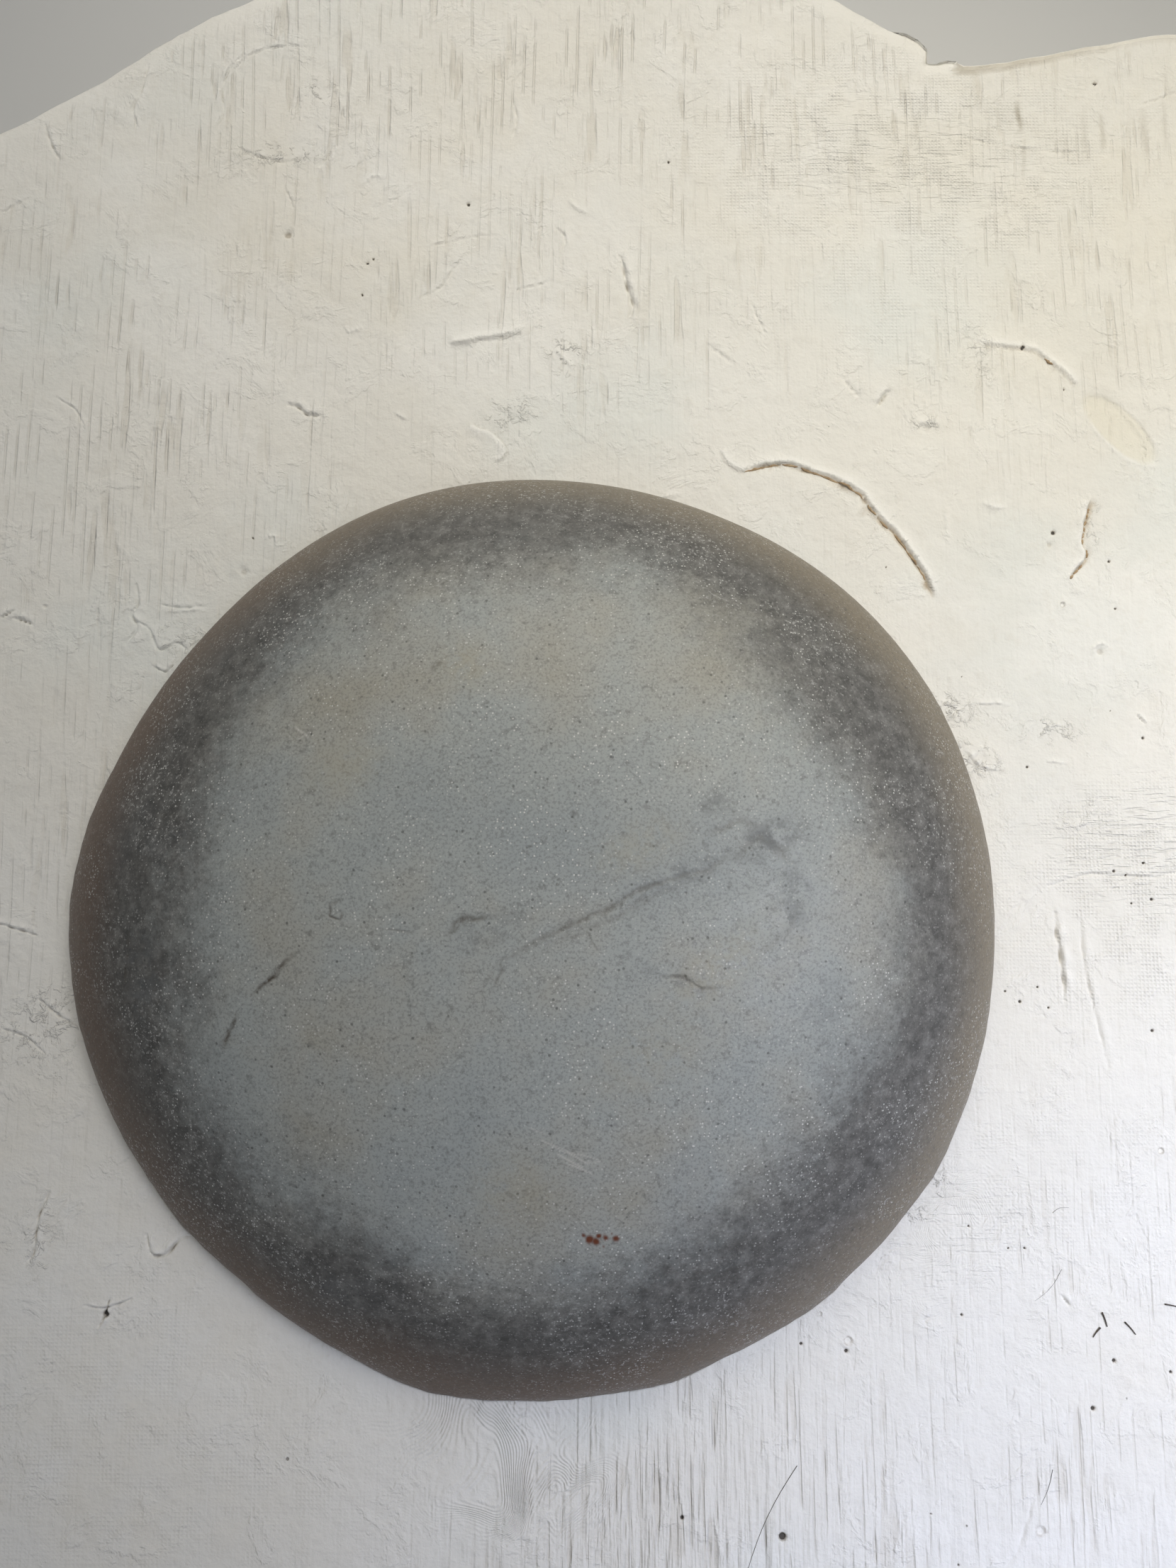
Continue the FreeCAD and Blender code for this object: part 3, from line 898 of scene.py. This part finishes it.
def joined(name, parts):
    """One mesh from several (corners, faces) pairs."""
    corners, faces = [], []
    for some_corners, some_faces in parts:
        start = len(corners)
        corners += some_corners
        faces += [tuple(start + index for index in face) for face in some_faces]
    mesh = bpy.data.meshes.new(name)
    mesh.from_pydata(corners, [], faces)
    return mesh


def face_level(surface, x, y):
    """The point of the finished face at a plan position in mm."""
    start = Vector((MIDDLE[0] + x * MM, MIDDLE[1] + y * MM, FACE + 0.02))
    return surface.ray_cast(start, DOWN)[0]


def make_clay(material, surface):
    """Slivers and smears of clay left in the grooves of the seams."""
    rng = np.random.default_rng(5)
    parts = []
    for line, _, _, left in FINS:
        if left < 0.1:
            continue
        line = np.array(smooth_line(line))
        lengths = np.concatenate([[0.0], np.cumsum(np.hypot(*np.diff(line, axis=0).T))])
        for start in np.arange(0.02, 0.9, 0.075):
            if rng.uniform() > left * 0.85:
                continue
            shares = np.linspace(start, start + rng.uniform(0.04, 0.09), 7)
            path, radii = [], []
            for k, share in enumerate(shares):
                (x, next_x), (y, next_y) = (
                    np.interp([share * lengths[-1], (share + 0.02) * lengths[-1]], lengths, line[:, i])
                    for i in (0, 1))
                ahead, up = next_x - x, next_y - y
                size = max(math.hypot(ahead, up), 1e-6)
                offset = 0.75 + rng.uniform(-0.12, 0.12)
                point = face_level(surface, x + up / size * offset, y - ahead / size * offset)
                path.append(point)
                bulk = math.sin(math.pi * (k + 0.5) / len(shares)) ** 0.7
                radii.append(rng.uniform(0.22, 0.45) * bulk * MM)
            parts.append(tube(path, radii, 8))
    return add_piece(joined("clay_slivers", parts), "mould", "clay", material, "clay_residue")


def make_bristles(material, surface):
    """Stray bristles lying on the face."""
    parts = []
    for (x0, y0), (x1, y1), bow, half in BRISTLES:
        path, radii = [], []
        for k in range(9):
            share = k / 8
            length = math.hypot(x1 - x0, y1 - y0)
            aside = bow * math.sin(math.pi * share)
            x = x0 + (x1 - x0) * share - (y1 - y0) / length * aside
            y = y0 + (y1 - y0) * share + (x1 - x0) / length * aside
            level = face_level(surface, x, y)
            path.append(level + Vector((0, 0, half * MM * 1.2)))
            radii.append(half * MM * (1.0 - 0.5 * share))
        parts.append(tube(path, radii, 5))
    return add_piece(joined("stray_bristles", parts), "mould", "hessian", material)


# ================= materials =================


class Shader:
    """One material's nodes, added in short calls."""

    def __init__(self, name, roughness, specular=0.5):
        self.material = bpy.data.materials.new(name)
        self.material.use_nodes = True
        self.nodes = self.material.node_tree.nodes
        self.links = self.material.node_tree.links
        self.nodes.clear()
        self.surface = self.nodes.new("ShaderNodeBsdfPrincipled")
        output = self.nodes.new("ShaderNodeOutputMaterial")
        self.links.new(self.surface.outputs[0], output.inputs["Surface"])
        self.surface.inputs["Roughness"].default_value = roughness
        self.surface.inputs["Specular IOR Level"].default_value = specular
        self.place = self.add("TexCoord", "Object")
        self.colour = None

    def feed(self, socket, value):
        """Links a socket or sets its value."""
        if isinstance(value, bpy.types.NodeSocket):
            self.links.new(value, socket)
        else:
            socket.default_value = value

    def add(self, kind, output, **inputs):
        """A new node's output. Inputs are fed by name, with underscores for spaces."""
        node = self.nodes.new("ShaderNode" + kind)
        for name, value in inputs.items():
            self.feed(node.inputs[name.replace("_", " ")], value)
        return node.outputs[output]

    def moved(self, scale, shift, turn):
        """The place, turned about Z, scaled and moved, or as it is if there is nothing to do."""
        if (scale, shift, turn) == (None, None, 0):
            return self.place
        return self.add("Mapping", 0, Vector=self.place, Scale=scale or (1, 1, 1),
                        Location=shift or (0, 0, 0), Rotation=(0, 0, math.radians(turn)))

    def noise(self, per_metre, detail=2, roughness=0.5, shift=None, warp=0, scale=None, turn=0):
        """Smooth noise, 0 to 1, with this many lumps to the metre."""
        return self.add("TexNoise", "Fac", Vector=self.moved(scale, shift, turn), Scale=per_metre,
                        Detail=detail, Roughness=roughness, Distortion=warp)

    def cells(self, per_metre, output="Distance", shift=None):
        """Cells of a Voronoi pattern: the distance to their middle, or their own random colour."""
        return self.add("TexVoronoi", output, Vector=self.moved(None, shift, 0), Scale=per_metre)

    def painted(self, name):
        """A number painted on the mesh."""
        fac = self.add("Attribute", "Fac")
        fac.node.attribute_name = name
        return fac

    def sum(self, operation, *values):
        """Arithmetic on several values, one after the other."""
        total = values[0]
        for value in values[1:] or (0,):
            node = self.nodes.new("ShaderNodeMath")
            node.operation = operation
            self.feed(node.inputs[0], total)
            self.feed(node.inputs[1], value)
            total = node.outputs[0]
        return total

    def times(self, *values):
        return self.sum("MULTIPLY", *values)

    def plus(self, *values):
        return self.sum("ADD", *values)

    def wave(self, axis, pitch, warp):
        """Rises and falls between -1 and 1 along an axis, once every pitch."""
        return self.sum("SINE", self.plus(self.times(self.axis(axis), TURN / pitch), warp))

    def spread(self, value, low, high, to_low=0, to_high=1):
        """A value's range from low to high, eased and moved to another range."""
        result = self.add("MapRange", 0, From_Min=low, From_Max=high, To_Min=to_low, To_Max=to_high)
        result.node.interpolation_type = "SMOOTHSTEP"
        self.feed(result.node.inputs["Value"], value)
        return result

    def patches(self, low, high, *noise, **more):
        """Soft patches: noise spread from low to high."""
        return self.spread(self.noise(*noise, **more), low, high)

    def mix(self, share, first, second):
        """A colour between two others."""
        node = self.nodes.new("ShaderNodeMix")
        node.data_type = "RGBA"
        self.feed(node.inputs["Factor"], share)
        for socket, value in ((node.inputs[6], first), (node.inputs[7], second)):
            self.feed(socket, value if isinstance(value, bpy.types.NodeSocket) else (*value, 1))
        return node.outputs[2]

    def tint(self, colour, *shares):
        """Mixes a colour over what is there, by the product of the shares."""
        self.colour = self.mix(self.times(*shares) if len(shares) > 1 else shares[0], self.colour, colour)

    def ramp(self, value, *stops):
        """A colour from a value, through (place, colour) stops."""
        colour = self.add("ValToRGB", "Color", Fac=value)
        elements = colour.node.color_ramp.elements
        while len(elements) < len(stops):
            elements.new(0.5)
        for element, (where, shade) in zip(elements, stops):
            element.position = where
            element.color = (*shade, 1)
        return colour

    def axis(self, name):
        """One coordinate of the place, in metres."""
        return self.add("SeparateXYZ", name, Vector=self.place)

    def finish(self, *heights):
        """Sets the colour, turns (height, millimetres) pairs into bump shading, and gives the material."""
        self.feed(self.surface.inputs["Base Color"], self.colour)
        if heights:
            height = self.plus(*(self.times(value, millimetres) for value, millimetres in heights))
            normal = self.add("Bump", 0, Strength=1, Distance=MM, Height=height)
            self.feed(self.surface.inputs["Normal"], normal)
        return self.material


def plaster_face():
    """Cast plaster with the print of its clay bed: canvas, scraper streaks, ripples, stains and pinholes,
    with painted shade in its grooves, pits, holes and along the low step, and a painted highlight on its
    raised lips.
    """
    s = Shader("plaster_face", 0.78, 0.3)
    dirt, flat = s.painted("dirt"), s.painted("flat")
    across = s.wave("X", 0.96 * MM, s.times(s.noise(45), 9))
    down = s.wave("Y", 0.94 * MM, s.times(s.noise(38, shift=(3, 1, 2)), 9))
    weave = s.times(s.sum("MAXIMUM", across, down), s.patches(0.35, 0.62, 150, 3), s.painted("weave"))
    comb = s.wave("X", 2.9 * MM, s.times(s.noise(14, shift=(4, 4, 4), scale=(1, 0.3, 1)), 26))
    dashes = s.patches(0.48, 0.6, 170, shift=(2, 6, 1), scale=(1, 0.4, 1))
    lines = s.patches(0.55, 0.66, 420, 1, scale=(1, 0.11, 1))
    fine = s.patches(0.55, 0.68, 1000, 1, shift=(2, 0, 0), scale=(1, 0.07, 1))
    broken = s.patches(0.4, 0.62, 42, 3, 0.6, shift=(5, 5, 5), scale=(1.6, 0.6, 1))
    combed = s.times(s.spread(comb, 0.62, 1), dashes, 0.7)
    scored = s.times(s.plus(lines, s.times(fine, 0.5)), broken)
    streaks = s.times(s.plus(combed, scored), s.painted("streaks"))
    flutes = s.times(s.noise(300, 3, 0.6, shift=(3, 5, 1), scale=(1, 0.07, 1)), s.painted("flutes"))
    thread = s.patches(0.5, 0.66, 900, 2, 0.6, shift=(1, 7, 7), scale=(0.16, 1, 1), turn=3)
    threads = s.times(thread, s.painted("threads"))
    swirl = s.noise(28, shift=(7, 2, 0), warp=0.6)
    ripples = s.times(s.sum("SINE", s.times(swirl, 420)), s.painted("ripples"))
    flakes = s.patches(0.54, 0.62, 70, 5, 0.66, shift=(8, 1, 6), warp=0.4)
    crumbs = s.times(s.patches(0.5, 0.62, 330, 4, 0.68, shift=(6, 1, 2), warp=0.4), s.painted("crumbs"))
    hole_pick = s.spread(s.cells(75, "Color", shift=(4, 9, 1)), 0.66, 0.68)
    pinholes = s.times(s.spread(s.cells(75, shift=(4, 9, 1)), 0.02, 0.035, 1, 0), hole_pick, flat)
    smear = s.spread(s.painted("smear"), 0.3, 0.6)
    wipe = s.noise(380, 3, 0.6, scale=(1, 0.3, 1))
    wiped = s.times(s.painted("wipe"), s.spread(wipe, 0.3, 0.6, 0.3, 0.6))

    s.colour = s.ramp(s.noise(11, 4, 0.55), (0.3, (0.765, 0.745, 0.695)), (0.5, (0.8, 0.784, 0.742)),
                      (0.7, (0.83, 0.82, 0.79)))
    s.tint((0.775, 0.72, 0.605), s.painted("warm"), s.patches(0.3, 0.7, 34, 4, 0.6, shift=(1, 8, 3)), 0.45)
    cool = s.patches(0.5, 0.72, 17, 3, shift=(9, 4, 3))
    s.tint((0.715, 0.755, 0.745), cool, s.spread(s.painted("warm"), 0, 0.7, 0.45, 0.1))
    s.tint((0.87, 0.86, 0.835), s.patches(0.54, 0.66, 13, 4, 0.55, shift=(3, 3, 3), warp=0.3), 0.45)
    s.tint((0.55, 0.5, 0.41), s.spread(streaks, 0.1, 1), 0.28)
    s.tint((0.66, 0.62, 0.55), s.patches(0.52, 0.72, 420, 3, 0.6), 0.16)
    s.tint((0.86, 0.85, 0.82), flakes, 0.12)
    s.tint((0.88, 0.86, 0.8), crumbs, 0.3)
    in_hollow = s.sum("SUBTRACT", 1, flat)
    s.tint((0.62, 0.6, 0.56), in_hollow, s.patches(0.35, 0.7, 24, 4, 0.6), 0.35)
    # painted highlight: the raised lips of seams, cuts and ridges painted whiter
    s.tint((0.9, 0.89, 0.865), s.painted("lip"), 0.6)
    s.tint((0.7, 0.65, 0.5), smear, 0.35)
    # painted shade along the low step
    s.tint((0.55, 0.515, 0.45), s.painted("band"), s.spread(s.noise(160, 3, 0.6), 0.3, 0.6, 0.6, 0.95))
    s.tint((0.48, 0.445, 0.38), wiped)
    s.tint((0.42, 0.32, 0.2), s.painted("clay"), s.spread(s.noise(260, 3, 0.6), 0.36, 0.56, 0.35, 1), 0.8)
    # painted shade, with some grime, in grooves, pits and air rings, and near black inside the air holes
    s.tint((0.3, 0.25, 0.19), s.spread(dirt, 0.2, 1), 0.6)
    s.tint((0.04, 0.035, 0.03), s.spread(dirt, 1, 1.5), 0.9)
    # painted shade in the pinholes
    s.tint((0.2, 0.17, 0.14), pinholes, 0.75)
    s.feed(s.surface.inputs["Roughness"], s.spread(smear, 0, 1, 0.78, 0.45))
    grain, lumps = s.noise(1300, 3, 0.6), s.noise(210, 4, 0.62)
    return s.finish((weave, 0.11), (streaks, -0.3), (ripples, 0.08), (threads, -0.25), (flutes, 2.2),
                    (wiped, -0.2), (smear, -0.3), (grain, 0.07), (lumps, 0.75), (flakes, 0.16),
                    (crumbs, 0.4), (pinholes, -0.3))


def plaster_backing():
    """Hand-smoothed plaster: palm and trowel marks, drips and air holes, with painted shade in the holes and
    a darker tint towards the bottom.
    """
    s = Shader("plaster_backing", 0.82, 0.3)
    s.colour = s.ramp(s.noise(14, 4, 0.55), (0.3, (0.74, 0.72, 0.67)), (0.5, (0.79, 0.77, 0.73)),
                      (0.72, (0.82, 0.81, 0.78)))
    # a darker, patchy tint towards the bottom of the backing
    towards_bottom = s.spread(s.axis("Z"), 0, 18 * MM, 1, 0)
    s.tint((0.56, 0.52, 0.45), towards_bottom, s.patches(0.35, 0.7, 40, 4, 0.6), 0.35)
    holes = s.times(s.spread(s.cells(90), 0.04, 0.09, 1, 0), s.patches(0.5, 0.56, 60, shift=(2, 2, 7)))
    # painted shade in the air holes
    s.tint((0.3, 0.27, 0.22), holes, 0.6)
    wiped = s.noise(55, 4, 0.6, scale=(1, 1, 0.35), warp=0.8)
    scraped = s.noise(420, scale=(0.12, 1, 1), turn=20)
    return s.finish((wiped, 1.3), (scraped, 0.12), (s.noise(900, 3, 0.6), 0.06), (holes, -0.8))


def stone_skin():
    """Water-worn stone: a pale crown, partly dust and partly a painted reflection of the light above, a dark
    shoulder painted paler on the side that faces the light, a brown rim also paler on that side, pale grains
    with painted mica glints, and a few veins.
    """
    s = Shader("river_stone", 0.5, 0.45)
    across = s.plus(s.axis("X"), -MIDDLE[0])
    along = s.plus(s.axis("Y"), -MIDDLE[1])
    distance = s.sum("SQRT", s.plus(s.times(across, across), s.times(along, along)))
    radius = s.times(distance, 1 / OUTLINE[0].real)
    ragged = s.plus(s.times(s.noise(24, 5, 0.62), 0.34), s.times(s.noise(330, 5, 0.8), 0.24))
    # the pale crown: partly dust, partly a painted reflection of the light above
    crown = s.spread(s.sum("SUBTRACT", s.plus(radius, ragged), 0.29), 0.6, 0.81, 1, 0)
    mottle = s.noise(300, 5, 0.7)
    grain = s.noise(1700, 2, 0.6)
    side = s.plus(s.times(s.axis("X"), 0.9), s.times(s.axis("Y"), 0.5),
                  s.times(s.noise(16, 3, 0.6, shift=(8, 8, 3)), 0.08))
    lit = s.spread(side, -0.06, 0.07)  # the shoulder that faces the light is paler
    # shaded and lit copies of the shoulder's colour, mixed by the painted light
    dark = s.ramp(mottle, (0.34, (0.068, 0.067, 0.064)), (0.66, (0.15, 0.146, 0.138)))
    warm = s.ramp(mottle, (0.34, (0.095, 0.094, 0.091)), (0.66, (0.19, 0.187, 0.18)))
    pale = s.ramp(s.noise(26, 4, 0.6, shift=(6, 3, 1)), (0.3, (0.328, 0.358, 0.362)),
                  (0.48, (0.368, 0.392, 0.383)), (0.6, (0.378, 0.382, 0.352)), (0.75, (0.36, 0.345, 0.29)))
    s.colour = s.mix(lit, dark, warm)
    s.tint(pale, crown, 0.92)
    s.tint((0.22, 0.245, 0.27), s.patches(0.52, 0.7, 19, 4, 0.6, shift=(2, 9, 9)), 0.16)
    rim = s.spread(s.plus(radius, s.times(s.noise(35, 3, 0.6), 0.08)), 0.86, 1.01)
    # the rim is painted paler on the side that faces the light
    s.tint(s.mix(lit, (0.12, 0.07, 0.043), (0.22, 0.182, 0.128)), rim, 0.85)
    s.tint((0.42, 0.43, 0.42), s.spread(mottle, 0.5, 0.75), 0.16)
    s.tint((0.045, 0.045, 0.043), s.spread(grain, 0.32, 0.56, 0.3, 0))
    s.tint((0.07, 0.07, 0.065), s.patches(0.56, 0.72, 520, 3, 0.6), 0.35)
    dusty = s.spread(s.noise(48, 3, 0.6, shift=(3, 3, 8)), 0.42, 0.62, 0.3, 1)
    # pale grains, partly painted glints of the mica
    glint_pick = s.spread(s.cells(1500, "Color"), 0.7, 0.74)
    s.tint((0.66, 0.66, 0.64), s.spread(s.cells(1500), 0.22, 0.36, 1, 0), glint_pick, dusty, 0.85)
    dust = s.patches(0.56, 0.64, 1150, 3, 0.75, shift=(5, 5, 2))
    s.tint((0.43, 0.43, 0.42), dust, dusty, s.spread(radius, 0.45, 0.85, 0.12, 1), 0.7)
    speck_pick = s.spread(s.cells(620, "Color"), 0.72, 0.76)
    specks = s.times(s.spread(s.cells(620), 0.1, 0.26, 1, 0), speck_pick)
    s.tint((0.04, 0.04, 0.038), specks, 0.55)
    crumbly = s.spread(s.noise(650, 3, 0.65), 0.36, 0.56, 0.4, 1)
    s.tint((0.075, 0.062, 0.048), s.painted("vein"), crumbly, 0.8)
    s.tint((0.6, 0.58, 0.55), s.painted("scratch"), 0.6)
    s.tint((0.13, 0.035, 0.014), s.painted("rust"))
    sooty = s.patches(0.44, 0.58, 190, 5, 0.75, shift=(7, 7, 1))
    s.tint((0.11, 0.118, 0.122), sooty, s.painted("smudge"), 0.7)
    s.tint((0.36, 0.325, 0.23), s.painted("ochre"), s.spread(mottle, 0.3, 0.6), 0.4)
    s.feed(s.surface.inputs["Roughness"], s.spread(mottle, 0.3, 0.7, 0.38, 0.55))
    return s.finish((mottle, 0.06), (grain, 0.04), (specks, -0.05), (s.painted("vein"), -0.15))


def clay_skin():
    """Dried brown clay."""
    s = Shader("dried_clay", 0.85)
    s.colour = s.ramp(s.noise(900, 3, 0.6), (0.3, (0.3, 0.2, 0.11)), (0.7, (0.48, 0.37, 0.24)))
    return s.finish((s.noise(2600, 3, 0.6), 0.08))


def bristle_skin():
    """Dark brown animal bristle."""
    s = Shader("bristle", 0.5)
    s.colour = s.ramp(s.noise(700), (0.3, (0.035, 0.028, 0.022)), (0.7, (0.09, 0.07, 0.05)))
    return s.finish((s.noise(6000), 0.01))


def hessian_skin():
    """Coarse jute weave, stiff with plaster."""
    s = Shader("hessian", 0.9)
    warp = s.times(s.noise(60), 4)
    weave = s.sum("MAXIMUM", s.wave("X", 3.2 * MM, warp), s.wave("Y", 3.2 * MM, warp))
    s.colour = s.ramp(s.noise(600, 3, 0.6), (0.3, (0.42, 0.31, 0.18)), (0.7, (0.6, 0.48, 0.32)))
    s.tint((0.8, 0.78, 0.73), s.patches(0.45, 0.6, 80, 4, 0.6))
    return s.finish((weave, 0.4))


def floor_skin():
    """A pale, matt studio floor."""
    s = Shader("studio_floor", 0.9)
    s.colour = s.ramp(s.noise(3, 3), (0.3, (0.6, 0.6, 0.595)), (0.7, (0.64, 0.64, 0.63)))
    return s.finish()


# ================= camera, floor and light =================

CAMERA_PLACE = (12.6, -9.4, 304.3)  # mm from the stone's middle, above the face
CAMERA_TILT = 8.0  # degrees from straight down, towards +Y
CAMERA_LENS = 28.07  # mm, on a sensor 36 mm long


def from_middle(x, y, z):
    """A point in metres, from mm in plan and above the parting face."""
    return Vector((MIDDLE[0] + x * MM, MIDDLE[1] + y * MM, FACE + z * MM))


def make_camera():
    """Looks nearly straight down on the stone."""
    data = bpy.data.cameras.new("camera")
    data.sensor_width = 36.0
    data.lens = CAMERA_LENS
    data.clip_start = 0.01
    camera = bpy.data.objects.new("camera", data)
    camera.location = from_middle(*CAMERA_PLACE)
    camera.rotation_euler = (math.radians(CAMERA_TILT), 0.0, 0.0)
    bpy.context.scene.collection.objects.link(camera)
    bpy.context.scene.camera = camera


def make_floor():
    """A wide pale floor under the mould."""
    mesh = bpy.data.meshes.new("studio_floor")
    half = 8.0
    mesh.from_pydata([(-half, -half, 0), (half, -half, 0), (half, half, 0), (-half, half, 0)], [],
                     [(0, 1, 2, 3)])
    mesh.materials.append(floor_skin())
    floor = bpy.data.objects.new("studio_floor", mesh)
    floor.location.z = -0.05 * MM
    bpy.context.scene.collection.objects.link(floor)


def soft_light(name, place, target, size, watts, colour, spread=180.0):
    """A square soft light, aimed at a point. Places in mm from the stone's middle and the face."""
    data = bpy.data.lights.new(name, "AREA")
    data.size = size
    data.energy = watts
    data.color = colour
    data.spread = math.radians(spread)
    light = bpy.data.objects.new(name, data)
    light.location = from_middle(*place)
    aim = from_middle(*target) - light.location
    light.rotation_euler = aim.to_track_quat("-Z", "Y").to_euler()
    bpy.context.scene.collection.objects.link(light)


def make_light():
    """Soft light from the upper right, a warmer one from the top, and an even one from straight above."""
    soft_light("key", (360, 180, 460), (215, 95, 0), 0.35, 0.2, (1.07, 1.0, 0.8), 52.0)
    soft_light("fill", (410, -90, 420), (225, -165, 0), 0.35, 0.32, (0.92, 1.0, 1.3), 52.0)
    soft_light("top", (10, 470, 360), (10, 240, 0), 0.42, 0.385, (1.05, 1.0, 0.89), 80.0)
    sky = bpy.data.lights.new("overhead", "SUN")
    sky.energy = 0.4
    sky.angle = math.radians(120.0)
    sky.color = (0.98, 0.99, 1.0)
    bpy.context.scene.collection.objects.link(bpy.data.objects.new("overhead", sky))
    world = bpy.data.worlds.new("world")
    world.use_nodes = True
    world.node_tree.nodes["Background"].inputs["Color"].default_value = (0.9, 0.92, 0.95, 1.0)
    world.node_tree.nodes["Background"].inputs["Strength"].default_value = 0.16
    bpy.context.scene.world = world
    bpy.context.scene.view_settings.view_transform = "Standard"


# ================= putting it together =================


def main():
    """Builds everything in the order that the pieces lie on each other."""
    make_camera()
    make_floor()
    make_light()
    face = make_face_coat(plaster_face())
    surface = rays_for(face.data)
    make_backing(plaster_backing())
    make_stone(stone_skin())
    make_clay(clay_skin(), surface)
    make_bristles(bristle_skin(), surface)
    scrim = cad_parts["hessian_scrim"]
    scrim.data.materials.clear()
    scrim.data.materials.append(hessian_skin())


main()
